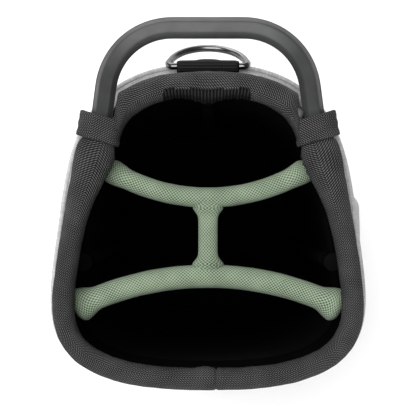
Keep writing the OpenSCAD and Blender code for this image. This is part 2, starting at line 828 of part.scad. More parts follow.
// [face, middle of the zip, half its length, upright, where along it the slider rests]
function level_zip(box, half) = [0, [(box[0].x + box[1].x) / 2, box[0].y, box[1].z - zip_inset], half, false];
function side_zip(face, box) =
    let (x = face == 1 ? box[0].x : box[1].x)
    [face, [x, zip_y, (box[0].z + box[1].z) / 2], (box[1].z - box[0].z) / 2 - zip_inset, true];
ball_spec = level_zip(ball_box, level_half);
accessory_spec = level_zip(accessory_box, level_half - 16);
valuables_spec = level_zip(valuables_box, level_half - 20);
left_spec = side_zip(1, left_box);
right_spec = side_zip(2, right_box);
slider_stop = slider_l / 2 + 3;

module zip_of(s) {
    on_face(s[0], s[1]) zip(s[3], s[2]);
}

// A closed zip: a level one shuts to +X and an upright one shuts upwards
module at_slider(s) {
    shift = s[2] - slider_stop;
    on_face(s[0], s[1]) translate(s[3] ? [0, 0, shift] : [shift, 0, 0]) children();
}

// ---------------------------------------------------------------- spine side

grab_z = 500; // middle of the grab handle
grab_half = 85;
grab_bow = 34;
grab_w = 30;
grab_t = 2.4;
grab_foot = 22; // length of each sewn foot
grip_half = 32; // half the length of the grip
spine_face = cuff_d / 2 + panel_out;

// Distance of the strap's middle from the spine panel at height u from the handle's middle
function grab_out(u) = grab_t / 2 + grab_bow * ease((grab_half - abs(u)) / (grab_half - grip_half - 3));
function grab_ring(u, w, t, du) =
    let (d = unit([0, grab_out(u + du) - grab_out(u - du), 2 * du]), n = [0, d.z, -d.y])
    let (c = [0, spine_face + grab_out(u), grab_z + u])
    [c + [w / 2, 0, 0] - n * t / 2, c + [w / 2, 0, 0] + n * t / 2,
        c - [w / 2, 0, 0] + n * t / 2, c - [w / 2, 0, 0] - n * t / 2];

module grab_strap() {
    reach = grab_half + grab_foot;
    color(webbing_black)
        difference() {
            skin([for (i = [0 : 32]) grab_ring(reach - 2 * reach * i / 32, grab_w, grab_t, 1)]);
            at_grab_rivets() cylinder(r = rivet_r + fit, h = 12, center = true);
        }
}

module grab_grip() {
    k = 16;
    half = grip_half;
    color("dimgray")
        difference() {
            skin([for (i = [0 : 8])
                let (u = half - 2 * half * i / 8)
                [for (j = [0 : k - 1])
                    let (t = 360 * j / k)
                    [(grab_w / 2 + 4) * cos(t), spine_face + grab_out(0) + (grab_t / 2 + 7) * sin(t), grab_z + u]]]);
            translate([-grab_w / 2 - fit, spine_face + grab_bow, grab_z - half - eps])
                cube([grab_w + 2 * fit, grab_t, 2 * half + 2 * eps]);
        }
}

module at_grab_rivets() {
    for (sz = [-1, 1], sx = [-1, 1])
        translate([sx * 8, spine_face + grab_t, grab_z + sz * (grab_half + grab_foot / 2 + 1)])
            rotate([-90, 0, 0]) children();
}

module grab_rivets() {
    color("silver")
        at_grab_rivets() {
            cylinder(r = 2 * rivet_r, h = 1.6);
            translate([0, 0, -grab_t]) cylinder(r = rivet_r, h = grab_t + 1);
        }
}

module glove_patch() {
    color("dimgray")
        cuff_stretch(165, 195, panel_out + 1, panel_out, band_z0 - 100, band_z0 - 20);
}

// ---------------------------------------------------------------- nodes

collar_frame();
divider_frame();
divider_sleeve_spine();
divider_sleeve_front();
divider_sleeve_post();
divider_rivets();
rim_foam();
rim_cover();
collar_band();
carry_handle();
handle_screws();
handle_wrap(-1);  // handle_wrap_left
handle_wrap(1);  // handle_wrap_right
ring_loop();
d_ring();
panel(360 - (front_seam - 180), front_seam);  // front_panel
panel(180 - spine_seam, 540 - front_seam);  // left_panel
panel(front_seam - 360, spine_seam);  // right_panel
panel(spine_seam, 180 - spine_seam);  // spine_panel
lining();
stay(0);  // stay_spine
stay(1);  // stay_left
stay(2);  // stay_right
well_sheet_spine();
well_sheet_front();
well_sheet_centre();
base_tray();
base_feet();
base_pad();
pocket(ball_box[0], ball_box[1], 28);  // ball_pocket
zip_of(ball_spec);  // ball_zip
at_slider(ball_spec) slider(false);  // ball_slider
at_slider(ball_spec) pull();  // ball_pull
pocket(accessory_box[0], accessory_box[1], 22);  // accessory_pocket
zip_of(accessory_spec);  // accessory_zip
at_slider(accessory_spec) slider(false);  // accessory_slider
at_slider(accessory_spec) pull();  // accessory_pull
pocket(valuables_box[0], valuables_box[1], 18);  // valuables_pocket
zip_of(valuables_spec);  // valuables_zip
at_slider(valuables_spec) slider(false);  // valuables_slider
at_slider(valuables_spec) pull();  // valuables_pull
pocket(left_box[0], left_box[1], 20);  // left_pocket
zip_of(left_spec);  // left_zip
at_slider(left_spec) slider(true);  // left_slider
at_slider(left_spec) pull();  // left_pull
pocket(right_box[0], right_box[1], 20);  // right_pocket
zip_of(right_spec);  // right_zip
at_slider(right_spec) slider(true);  // right_slider
at_slider(right_spec) pull();  // right_pull
pocket(slip_box[0], slip_box[1], 18, open_top = true);  // slip_pocket
grab_strap();
grab_grip();
grab_rivets();
lower_ring_loop();
lower_d_ring();
glove_patch();
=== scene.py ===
# A light golf carry bag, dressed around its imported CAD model. Metres and degrees.
import math

import bpy
import numpy as np
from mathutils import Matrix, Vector, noise


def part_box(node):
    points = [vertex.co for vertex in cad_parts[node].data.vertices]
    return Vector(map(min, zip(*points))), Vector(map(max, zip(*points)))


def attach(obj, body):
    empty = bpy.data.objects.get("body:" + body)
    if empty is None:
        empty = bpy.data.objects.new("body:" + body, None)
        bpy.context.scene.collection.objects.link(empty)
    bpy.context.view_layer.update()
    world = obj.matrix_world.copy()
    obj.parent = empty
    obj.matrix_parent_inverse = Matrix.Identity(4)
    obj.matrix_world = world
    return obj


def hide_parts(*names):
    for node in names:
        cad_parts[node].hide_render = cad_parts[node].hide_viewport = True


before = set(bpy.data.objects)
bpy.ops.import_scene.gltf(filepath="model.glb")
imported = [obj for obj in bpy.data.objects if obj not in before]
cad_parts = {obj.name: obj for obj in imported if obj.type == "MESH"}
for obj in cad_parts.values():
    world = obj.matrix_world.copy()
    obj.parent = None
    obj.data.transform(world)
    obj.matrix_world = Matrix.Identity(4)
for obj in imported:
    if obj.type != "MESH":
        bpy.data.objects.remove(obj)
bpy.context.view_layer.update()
MM = 0.001

# Driving dimensions of the cuff, the same as the part's
CUFF_W = 0.219
CUFF_D = -2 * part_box("rim_cover")[0].y
CUFF_TAPER = 0.178
SIDE_POWER = 4
END_POWER = 2.5
RIM_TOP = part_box("rim_cover")[1].z
RIM_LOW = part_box("rim_cover")[0].z
RIM_MID = (RIM_TOP + RIM_LOW) / 2
RIM_H = RIM_TOP - RIM_LOW
RIM_W = 16.5 * MM
ROOT_Y = 0.504 * CUFF_D / 2
BODY_OUT = -4 * MM
BODY_IN = -7.4 * MM
BAR_Z = RIM_TOP - 36 * MM
BAND_Z0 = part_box("collar_band")[0].z
BAND_Z1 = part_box("collar_band")[1].z
LEDGE_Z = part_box("front_panel")[0].z


def ease(t):
    t = np.clip(t, 0, 1)
    return t * t * (3 - 2 * t)


def fade(v, length):
    return np.exp(-((v / length) ** 2))


def outline(a):
    """Points of the cuff's outline at angles a."""
    s = np.sin(np.radians(a))
    across = np.maximum(0, 1 - np.abs(s) ** SIDE_POWER) ** (1 / END_POWER)
    x = np.sign(np.cos(np.radians(a))) * across * CUFF_W / 2 * (1 - CUFF_TAPER * s)
    return np.stack([x, s * CUFF_D / 2], axis=-1)


def normals(a):
    """Unit vectors that point out of the cuff at angles a."""
    d = outline(a + 0.5) - outline(a - 0.5)
    n = np.stack([d[..., 1], -d[..., 0]], axis=-1)
    return n / np.linalg.norm(n, axis=-1, keepdims=True)


def cuff(a, out=0.0):
    a = np.asarray(a, float)
    out = np.broadcast_to(np.asarray(out, float), a.shape)
    return outline(a) + normals(a) * out[..., None]


def even_angles(a0, a1, step):
    """Angles from a0 to a1 that are evenly spaced along the outline."""
    fine = np.linspace(a0, a1, 2000)
    p = outline(fine)
    run = np.concatenate([[0], np.cumsum(np.linalg.norm(np.diff(p, axis=0), axis=1))])
    count = max(4, round(run[-1] / step))
    return np.interp(np.linspace(0, run[-1], count + 1), run, fine)


def rumple(p, size, seed=0.0):
    """Smooth noise from -1 to 1 at the point p, for folds of that size."""
    return noise.noise(Vector((p[0] / size + seed, p[1] / size - seed, p[2] / size)))


# ---------------------------------------------------------------- mesh making


def make(name, verts, faces, mats, smooth=True):
    mesh = bpy.data.meshes.new(name)
    mesh.from_pydata([tuple(v) for v in verts], [], [tuple(f) for f in faces])
    obj = bpy.data.objects.new(name, mesh)
    bpy.context.scene.collection.objects.link(obj)
    for mat in mats if isinstance(mats, (list, tuple)) else [mats]:
        mesh.materials.append(mat)
    mesh.polygons.foreach_set("use_smooth", [smooth] * len(mesh.polygons))
    mesh.update()
    return obj


def grid(name, rows, mats, around=False, along=False, caps=False, flip=False, material_of=None):
    """A quad surface through rows of points, with UVs in metres. around joins each row's ends,
    along joins the last row to the first, and caps closes the first and last rows."""
    p = np.array(rows, float)
    n, m = p.shape[:2]
    u_step = np.linalg.norm(np.diff(p, axis=0, append=p[:1]), axis=2).mean(axis=1)
    v_step = np.linalg.norm(np.diff(p, axis=1, append=p[:, :1]), axis=2).mean(axis=0)
    u = np.concatenate([[0], np.cumsum(u_step)])
    v = np.concatenate([[0], np.cumsum(v_step)])
    i = np.arange(n if along else n - 1)[:, None]
    j = np.arange(m if around else m - 1)[None, :]
    i, j = np.broadcast_arrays(i, j)
    i, j = i.ravel(), j.ravel()
    corners = [(i, j), (i + 1, j), (i + 1, j + 1), (i, j + 1)]
    if flip:
        corners = corners[::-1]
    faces = np.stack([(a % n) * m + b % m for a, b in corners], axis=1)
    uvs = np.stack([np.stack([u[a], v[b]], axis=-1) for a, b in corners], axis=1).reshape(-1, 2)
    faces = faces.tolist()
    if caps:
        first, last = list(range(m)), [(n - 1) * m + k for k in range(m)]
        faces += [first[::-1] if flip else first, last if flip else last[::-1]]
        uvs = np.concatenate([uvs, np.zeros((2 * m, 2))])
    obj = make(name, p.reshape(-1, 3), faces, mats)
    layer = obj.data.uv_layers.new(name="UVMap")
    layer.data.foreach_set("uv", uvs.ravel())
    if material_of is not None:
        index = [int(material_of(p[a, b])) for a, b in zip(i, j)] + [0] * (2 if caps else 0)
        obj.data.polygons.foreach_set("material_index", index)
    return obj


def tube(name, path, radius, mats, sides=16, closed=False, flat=1.0, up=(0, 0, 1)):
    """A round bar along path. radius is one size or one for each point, flat squeezes it."""
    p = np.array(path, float)
    n = len(p)
    r = np.broadcast_to(np.asarray(radius, float), (n,))
    if closed:
        d = np.roll(p, -1, axis=0) - np.roll(p, 1, axis=0)
    else:
        d = np.gradient(p, axis=0)
    d /= np.linalg.norm(d, axis=1, keepdims=True)
    side_way = np.cross(d, np.array(up, float))
    weak = np.linalg.norm(side_way, axis=1) < 1e-3
    side_way[weak] = np.cross(d[weak], [1.0, 0.0, 0.0])
    side_way /= np.linalg.norm(side_way, axis=1, keepdims=True)
    over = np.cross(side_way, d)
    t = np.radians(np.arange(sides) * 360 / sides)
    rows = (
        p[:, None]
        + side_way[:, None] * (np.cos(t)[None, :] * r[:, None])[..., None]
        + over[:, None] * (np.sin(t)[None, :] * r[:, None] * flat)[..., None]
    )
    return grid(name, rows, mats, around=True, along=closed, caps=not closed)


def merge(name, objects, mats):
    """Joins finished meshes that share their materials into one."""
    verts, faces, uvs, index, base = [], [], [], [], 0
    for o in objects:
        mesh = o.data
        verts += [tuple(v.co) for v in mesh.vertices]
        faces += [[base + k for k in f.vertices] for f in mesh.polygons]
        index += [f.material_index for f in mesh.polygons]
        uvs += [tuple(x.uv) for x in mesh.uv_layers[0].data]
        base += len(mesh.vertices)
        bpy.data.objects.remove(o)
    obj = make(name, verts, faces, mats)
    obj.data.uv_layers.new(name="UVMap").data.foreach_set("uv", np.array(uvs).ravel())
    obj.data.polygons.foreach_set("material_index", index)
    return obj


def dress(obj, body="bag", replaces=()):
    """Parents a piece to the empty of the body it rides on, and hides the CAD nodes it stands for."""
    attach(obj, body)
    if replaces:
        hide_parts(*replaces)
    return obj


def modifier(obj, kind, **values):
    m = obj.modifiers.new(kind.title(), kind)
    for key, value in values.items():
        setattr(m, key, value)
    return m


# ---------------------------------------------------------------- materials


class Finish:
    """A material's node tree, with short calls for the nodes it needs."""

    def __init__(self, name, rough=0.6, metallic=0.0, sheen=0.0, specular=0.5, coat=0.0):
        self.mat = bpy.data.materials.new(name)
        self.mat.use_nodes = True
        self.tree = self.mat.node_tree
        self.shader = self.tree.nodes["Principled BSDF"]
        for key, value in {
            "Roughness": rough,
            "Metallic": metallic,
            "Sheen Weight": sheen,
            "Specular IOR Level": specular,
            "Coat Weight": coat,
        }.items():
            self.shader.inputs[key].default_value = value
        self.object = self.add("ShaderNodeTexCoord").outputs["Object"]

    def add(self, kind, inputs=(), **values):
        node = self.tree.nodes.new(kind)
        for key, value in values.items():
            setattr(node, key, value)
        for key, value in dict(inputs).items():
            self.join(value, node.inputs[key])
        return node

    def join(self, value, socket):
        if isinstance(value, bpy.types.NodeSocket):
            self.tree.links.new(value, socket)
        else:
            socket.default_value = value

    def math(self, operation, a, b=0.0, c=0.0):
        return self.add("ShaderNodeMath", {0: a, 1: b, 2: c}, operation=operation).outputs[0]

    def uv(self):
        """The two coordinates along a piece's surface, in metres."""
        source = self.add("ShaderNodeUVMap", uv_map="UVMap").outputs[0]
        parts = self.add("ShaderNodeSeparateXYZ", {0: source})
        return parts.outputs[0], parts.outputs[1]

    def noise(self, scale, detail=3.0, stretch=(1, 1, 1), source=None):
        place = self.add("ShaderNodeMapping", {0: source or self.object, 3: stretch}).outputs[0]
        node = self.add("ShaderNodeTexNoise", {0: place, "Scale": scale, "Detail": detail})
        return node.outputs["Fac"] if "Fac" in node.outputs else node.outputs[0]

    def wave(self, x, pitch):
        """A sine of x from -1 to 1 with that pitch."""
        return self.math("SINE", self.math("MULTIPLY", x, 2 * math.pi / pitch))

    def unit(self, x):
        """Brings -1 to 1 into 0 to 1."""
        return self.math("MULTIPLY_ADD", x, 0.5, 0.5)

    def ramp(self, value, dark, light, low=0.0, high=1.0):
        node = self.add("ShaderNodeValToRGB", {0: value})
        first, last = node.color_ramp.elements
        first.position, last.position = low, high
        first.color, last.color = (*dark, 1), (*light, 1)
        return node.outputs[0]

    def colour(self, value):
        self.join(value, self.shader.inputs["Base Color"])

    def rough(self, value, low, high):
        node = self.add("ShaderNodeMapRange", {0: value, 3: low, 4: high})
        self.join(node.outputs[0], self.shader.inputs["Roughness"])

    def bump(self, height, strength, depth):
        last = getattr(self, "last_bump", None)
        node = self.add("ShaderNodeBump", {"Height": height, "Strength": strength, "Distance": depth})
        if last:
            self.join(last, node.inputs["Normal"])
        self.last_bump = node.outputs[0]
        self.join(self.last_bump, self.shader.inputs["Normal"])


def grey(v, tint=(0, 0, 0)):
    return tuple(v + t for t in tint)


def knitted(name, dark, light, stitch, column, course, zigzag=0.5, sheen=0.08, holes=False):
    """Warp-knitted mesh: slanting rows of small stitches that mirror about each course's middle,
    or with holes, staggered pinholes between the threads."""
    f = Finish(name, rough=0.8, sheen=sheen, specular=0.12)
    u, v = f.uv()
    slant = f.math("MULTIPLY", f.math("PINGPONG", v, course / 2), zigzag * 2)
    rows = f.wave(f.math("ADD", u, slant), stitch)
    columns = f.wave(v, column)
    if holes:
        height = f.unit(f.math("MULTIPLY", f.wave(u, stitch), columns))
    else:
        height = f.math("MULTIPLY", f.unit(rows), f.math("MULTIPLY_ADD", f.unit(columns), 0.6, 0.4))
    blotch = f.noise(60, detail=4)
    value = f.math("MULTIPLY_ADD", f.math("SUBTRACT", blotch, 0.5), 0.45, height)
    f.colour(f.ramp(value, dark, light, 0.1, 0.8 if holes else 0.92))
    f.rough(height, 0.95, 0.7)
    f.bump(f.noise(900, detail=2), 0.25, 0.3 * MM)
    f.bump(height, 0.9, 0.7 * MM)
    return f.mat


def woven(name, dark, light, pitch, fleck=0.5, sheen=0.1, rough=(0.95, 0.75)):
    """Plain-woven melange cloth: crossing threads and short flecks along them."""
    f = Finish(name, rough=0.85, sheen=sheen, specular=0.2)
    u, v = f.uv()
    warp = f.wave(u, pitch)
    weft = f.wave(v, pitch)
    cross = f.unit(f.math("MULTIPLY", warp, weft))
    place = f.add("ShaderNodeCombineXYZ", {0: u, 1: v}).outputs[0]
    long_flecks = f.noise(1, 2.0, (900, 120, 1), place)
    wide_flecks = f.noise(1, 2.0, (140, 1100, 1), place)
    flecks = f.math("ADD", long_flecks, wide_flecks)
    value = f.math("MULTIPLY_ADD", f.math("SUBTRACT", flecks, 1.0), fleck, 0.5)
    value = f.math("MULTIPLY_ADD", f.math("SUBTRACT", cross, 0.5), 0.3, value)
    value = f.math("MULTIPLY_ADD", f.math("SUBTRACT", f.noise(14), 0.5), 0.25, value)
    f.colour(f.ramp(value, dark, light, 0.2, 0.8))
    f.rough(cross, *rough)
    f.bump(cross, 0.6, 0.25 * MM)
    f.bump(f.noise(55, 2), 0.2, 1.2 * MM)
    return f.mat


def moulded(name, dark, light, rough=(0.38, 0.55), grain=1500, specular=0.4):
    """Injection-moulded plastic with a fine spark-eroded grain and rubbed patches."""
    f = Finish(name, rough=0.45, specular=specular)
    patches = f.noise(35, 5)
    f.colour(f.ramp(patches, dark, light, 0.3, 0.75))
    f.rough(f.noise(120, 4), *rough)
    f.bump(f.noise(grain, 2), 0.35, 0.08 * MM)
    f.bump(f.noise(60, 2), 0.08, 0.5 * MM)
    return f.mat


def ribbed_webbing(name, dark, light, rib=1.9 * MM):
    """Polyester webbing: ribs across the strap and slanting threads over them."""
    f = Finish(name, rough=0.75, specular=0.15)
    u, v = f.uv()
    ribs = f.unit(f.wave(u, rib))
    slant = f.unit(f.wave(f.math("ADD", u, v), 1.1 * MM))
    height = f.math("MULTIPLY_ADD", slant, 0.35, f.math("MULTIPLY", ribs, 0.65))
    value = f.math("MULTIPLY_ADD", f.math("SUBTRACT", f.noise(50), 0.5), 0.5, height)
    f.colour(f.ramp(value, dark, light, 0.1, 0.95))
    f.rough(height, 0.85, 0.6)
    f.bump(height, 0.8, 0.4 * MM)
    return f.mat


def metal(name, dark, light, rough=(0.22, 0.42), brushed=(1, 1, 12)):
    f = Finish(name, rough=0.3, metallic=1.0)
    f.colour(f.ramp(f.noise(45, 5), dark, light, 0.3, 0.75))
    f.rough(f.noise(260, 4, brushed), *rough)
    f.bump(f.noise(700, 3, brushed), 0.12, 0.05 * MM)
    return f.mat


def rubbery(name, dark, light, grain=900):
    f = Finish(name, rough=0.7, specular=0.3)
    f.colour(f.ramp(f.noise(40, 4), dark, light, 0.3, 0.75))
    f.rough(f.noise(150, 3), 0.6, 0.85)
    f.bump(f.noise(grain, 3), 0.5, 0.15 * MM)
    return f.mat


def threaded(name, dark, light):
    """Twisted sewing thread."""
    f = Finish(name, rough=0.7, sheen=0.3)
    f.colour(f.ramp(f.noise(1800, 2), dark, light, 0.35, 0.7))
    f.rough(f.noise(900, 2), 0.6, 0.85)
    f.bump(f.noise(2500, 2, (1, 1, 3)), 0.5, 0.1 * MM)
    return f.mat


MESH = knitted("mesh_black", grey(0.004), grey(0.15), 2.0 * MM, 1.7 * MM, 36 * MM, sheen=0.0)
GRIP = knitted("mesh_grip", grey(0.002), grey(0.024), 2.6 * MM, 9 * MM, 30 * MM, zigzag=0.0, sheen=0.0)
SAGE = knitted("sage_mesh", (0.05, 0.07, 0.045), (0.375, 0.475, 0.335), 2.6 * MM, 2.6 * MM, 9, holes=True)
HEATHER = woven("heather_grey", grey(0.38), grey(0.68), 0.9 * MM, fleck=0.8, sheen=0.05)
CHARCOAL = woven("charcoal_cloth", grey(0.015), grey(0.075), 1.2 * MM, fleck=0.8, sheen=0.1)
PIPING = woven("piping_black", grey(0.012), grey(0.05), 0.8 * MM, fleck=0.4, sheen=0.05)
PLASTIC = moulded("moulded_black", grey(0.02), grey(0.04))
HANDLE = moulded("handle_black", grey(0.03, (0, 0.002, 0.001)), grey(0.06, (0, 0.003, 0.002)))
# The frames inside the cuff are near-black and almost without gloss: partly real black plastic and partly
# painted shade, so they sink into the black wells.
FRAME = moulded("frame_black", grey(0.003), grey(0.006), rough=(0.85, 0.95), specular=0.05)
GUNMETAL = metal("gunmetal", grey(0.10), grey(0.22), rough=(0.14, 0.3))
STEEL = metal("steel", grey(0.42), grey(0.62))
TUBE = metal("aluminium_tube", grey(0.25), grey(0.4))
WEBBING = ribbed_webbing("webbing_black", grey(0.002), grey(0.022))
# The lining's near-black is darker than black cloth: partly its real black and partly painted shade, so the
# deep wells, their sheets, the floor pad, the stay sleeves and the base's inside read black.
LINING = woven("lining_black", grey(0.003), grey(0.012), 1.1 * MM, fleck=0.4, sheen=0.0)
RUBBER = rubbery("rubber_black", grey(0.012), grey(0.03))
ZIP = woven("zip_black", grey(0.008), grey(0.035), 1.0 * MM, fleck=0.3)
COIL = moulded("coil_black", grey(0.015), grey(0.04), rough=(0.3, 0.45))
PULL = rubbery("sage_rubber", (0.20, 0.25, 0.19), (0.30, 0.37, 0.28))
THREAD = threaded("thread_grey", grey(0.10), grey(0.20))
DARK_THREAD = threaded("thread_black", grey(0.008), grey(0.03))
NAP = woven("nap_black", grey(0.01), grey(0.04), 0.7 * MM, fleck=0.9, sheen=0.6)

# ---------------------------------------------------------------- handle's plan, the part's own

HANDLE_W = 15.4 * MM
HANDLE_T = 11.6 * MM
ARM_Z = RIM_MID - 1.5 * MM
ARM_INSET = 13.6 * MM
ARM_LEAN = 10
TAIL_LEAN = 12
BOW_BEND = 50 * MM
BOW_RISE = 34 * MM
BOW_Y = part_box("carry_handle")[1].y - HANDLE_W / 2
ROOT_X = outline(math.degrees(math.asin(ROOT_Y / (CUFF_D / 2))))[0]


def arm_x(y):
    """Distance of an arm's middle from the bag's middle at the height y on the plan."""
    lean = np.where(np.asarray(y) < ROOT_Y, TAIL_LEAN, ARM_LEAN)
    return ROOT_X - ARM_INSET - (y - ROOT_Y) * np.tan(np.radians(lean))


def handle_z(y):
    rise_y = ROOT_Y + 2 * MM
    return ARM_Z + BOW_RISE * ease((y - rise_y) / (BOW_Y - rise_y))


def handle_path():
    lean = math.radians(ARM_LEAN)
    bend_y = BOW_Y - BOW_BEND * (1 - math.sin(lean))
    flat = float(arm_x(bend_y)) - BOW_BEND * math.cos(lean)
    y = np.linspace(ROOT_Y - 14 * MM, bend_y, 26)[:-1]
    arm = np.stack([arm_x(y), y], axis=1)
    t = np.radians(np.linspace(ARM_LEAN, 90, 28))
    bend = np.stack([flat + BOW_BEND * np.cos(t), BOW_Y - BOW_BEND + BOW_BEND * np.sin(t)], axis=1)
    x = np.linspace(flat, 0, 12)[1:]
    half = np.concatenate([arm, bend, np.stack([x, np.full_like(x, BOW_Y)], axis=1)])
    plan = np.concatenate([half, (half * [-1, 1])[-2::-1]])
    return np.column_stack([plan, handle_z(plan[:, 1])])


# Half of the handle's section, as shares of its width and thickness: a flat top, long
# chamfers down to the flanks, and a rounded underside
HANDLE_SECTION = [
    (0.0, 0.5), (0.14, 0.5), (0.24, 0.495), (0.28, 0.475), (0.31, 0.43), (0.42, 0.2), (0.48, 0.04),
    (0.5, -0.08), (0.495, -0.18), (0.46, -0.31), (0.4, -0.41), (0.3, -0.48), (0.15, -0.5),
]


def section_bar(name, path, half_section, width, thick, mats):
    """A bar along path with a section that mirrors about its upright middle."""
    p = np.array(path, float)
    d = np.gradient(p, axis=0)
    d /= np.linalg.norm(d, axis=1, keepdims=True)
    across = np.cross(d, [0, 0, 1.0])
    across /= np.linalg.norm(across, axis=1, keepdims=True)
    over = np.cross(across, d)
    half = np.array(half_section)
    loop = np.concatenate([half, [(0, -0.5)], (half * [-1, 1])[:0:-1]]) * [width, thick]
    x, y = loop[::-1].T
    rows = p[:, None] + across[:, None] * x[None, :, None] + over[:, None] * y[None, :, None]
    return grid(name, rows, mats, around=True, caps=True)


def carry_handle():
    bar = section_bar("handle", handle_path(), HANDLE_SECTION, HANDLE_W, HANDLE_T, HANDLE)
    dress(bar, replaces=["carry_handle"])
    # The moulding's parting line, a fine raised thread along the flanks
    path = handle_path()
    d = np.gradient(path, axis=0)
    d /= np.linalg.norm(d, axis=1, keepdims=True)
    across = np.cross(d, [0, 0, 1.0])
    across /= np.linalg.norm(across, axis=1, keepdims=True)
    lines = [
        tube("line", path[4:-4] + s * across[4:-4] * (HANDLE_W / 2 - 0.05 * MM), 0.3 * MM, HANDLE, 6)
        for s in (-1, 1)
    ]
    dress(merge("handle_parting_line", lines, HANDLE))


# ---------------------------------------------------------------- rim


def rim_width(a):
    """Width of the rim from above, and how far it swells out, at angles a."""
    p = outline(a)
    y = p[..., 1]
    width = RIM_W + 2 * MM * np.maximum(0, np.sin(np.radians(a))) + 10.5 * MM * fade(y - ROOT_Y, 34 * MM)
    width += np.where(y > 0, 5 * MM * fade(p[..., 0], 14 * MM), 0)
    return width, 2.2 * MM * fade(y - ROOT_Y - 6 * MM, 17 * MM)


def rim_piece(name, a0, a1, seam_x=None, clear_arms=False):
    angles = even_angles(a0, a1, 2 * MM)
    if seam_x is not None:
        x = outline(angles)[:, 0]
        at = angles[np.argmin(np.abs(x - seam_x) + 1e3 * (outline(angles)[:, 1] > 0))]
        extra = at + np.linspace(-1.2, 1.2, 25)
        angles = np.unique(np.concatenate([angles[np.abs(angles - at) > 1.25], extra]))
    width, swell = rim_width(angles)
    plan = outline(angles)
    run = np.concatenate([[0], np.cumsum(np.linalg.norm(np.diff(plan, axis=0), axis=1))])
    t = np.radians(np.arange(40) * 9)
    rows = []
    for k, a in enumerate(angles):
        out, inner = swell[k], -width[k]
        if clear_arms:
            while out > inner + 6 * MM:
                p = cuff(a, out)
                if abs(p[0]) < arm_x(p[1]) - HANDLE_W / 2 - 0.8 * MM:
                    break
                out -= 0.5 * MM
        half, high = (out - inner) / 2, RIM_H / 2
        end = min(run[k], run[-1] - run[k])
        if clear_arms:  # the ends are tucked in beside the arms
            high *= 0.55 + 0.45 * ease(end / (14 * MM))
        else:  # and the front's inside the wraps
            half -= 3 * MM * (1 - ease(end / (16 * MM)))
            high -= 2.5 * MM * (1 - ease(end / (16 * MM)))
        row = []
        for angle in t:
            c, s = math.cos(angle), math.sin(angle)
            x = np.sign(c) * abs(c) ** 0.9
            z = np.sign(s) * abs(s) ** 0.9
            base = cuff(a, (out + inner) / 2 + half * x)
            point = np.array([base[0], base[1], RIM_MID + high * z])
            fold = 0.35 * MM * rumple(point, 14 * MM) + 0.2 * MM * rumple(point, 5 * MM, 3.0)
            # The inner side is short, so its mesh gathers across the rim
            inside = max(0.0, -c) * (0.4 + 0.6 * fade(plan[k, 1] - ROOT_Y, 34 * MM))
            fold += 0.35 * MM * inside * math.sin(run[k] / (4.2 * MM) * 2 * math.pi)
            if not clear_arms:
                gather = fade(plan[k, 1] - ROOT_Y + 6 * MM, 9 * MM) * max(0.0, -c - 0.3)
                fold += 0.9 * MM * gather * math.sin(run[k] / (2.6 * MM) * 2 * math.pi)
            if seam_x is not None and plan[k, 1] < 0:
                off = plan[k, 0] - seam_x
                fold -= (1.5 if c < 0.3 else 0.7) * MM * math.exp(-((off / (0.9 * MM)) ** 2))
                fold += 1.5 * MM * math.exp(-(((off + 9 * MM) / (6 * MM)) ** 2)) * max(0, -c)
                fold += 0.9 * MM * math.exp(-(((off + 5 * MM) / (3.5 * MM)) ** 2)) * max(0, s)
                fold += 0.5 * MM * math.exp(-(((off - 5 * MM) / (3 * MM)) ** 2)) * max(0, s)
            if clear_arms and abs(plan[k, 0]) < 34 * MM and c < -0.05:
                edge = ease((34 * MM - abs(plan[k, 0])) / (6 * MM))
                fold += edge * 0.5 * MM * math.sin(run[k] / (2.8 * MM) * 2 * math.pi)
                fold -= edge * 1.1 * MM * math.exp(-(((c + 0.12) / 0.1) ** 2)) * max(0, s)
            n = normals(np.array(a))
            point[:2] += n * fold * c
            point[2] += fold * s
            row.append(point)
        rows.append(row)
    middle = RIM_MID

    def part(p):
        if not clear_arms or abs(p[0]) > 33 * MM:
            return 0
        edge = CUFF_D / 2 - 12.5 * MM
        return 1 if p[1] < edge and p[2] > middle - 9 * MM else 0

    obj = grid(name, rows, [MESH, GRIP], around=True, caps=True, flip=True, material_of=part)
    return obj


def rim():
    root = math.degrees(math.asin((ROOT_Y + 17 * MM) / (CUFF_D / 2)))
    front = rim_piece("rim_front", 180 - root, 360 + root, seam_x=6 * MM)
    dress(front, replaces=["rim_cover", "rim_foam"])
    start = math.degrees(math.asin(81 * MM / (CUFF_D / 2)))
    back = rim_piece("rim_back", start, 180 - start, clear_arms=True)
    dress(back, replaces=["rim_cover", "rim_foam"])


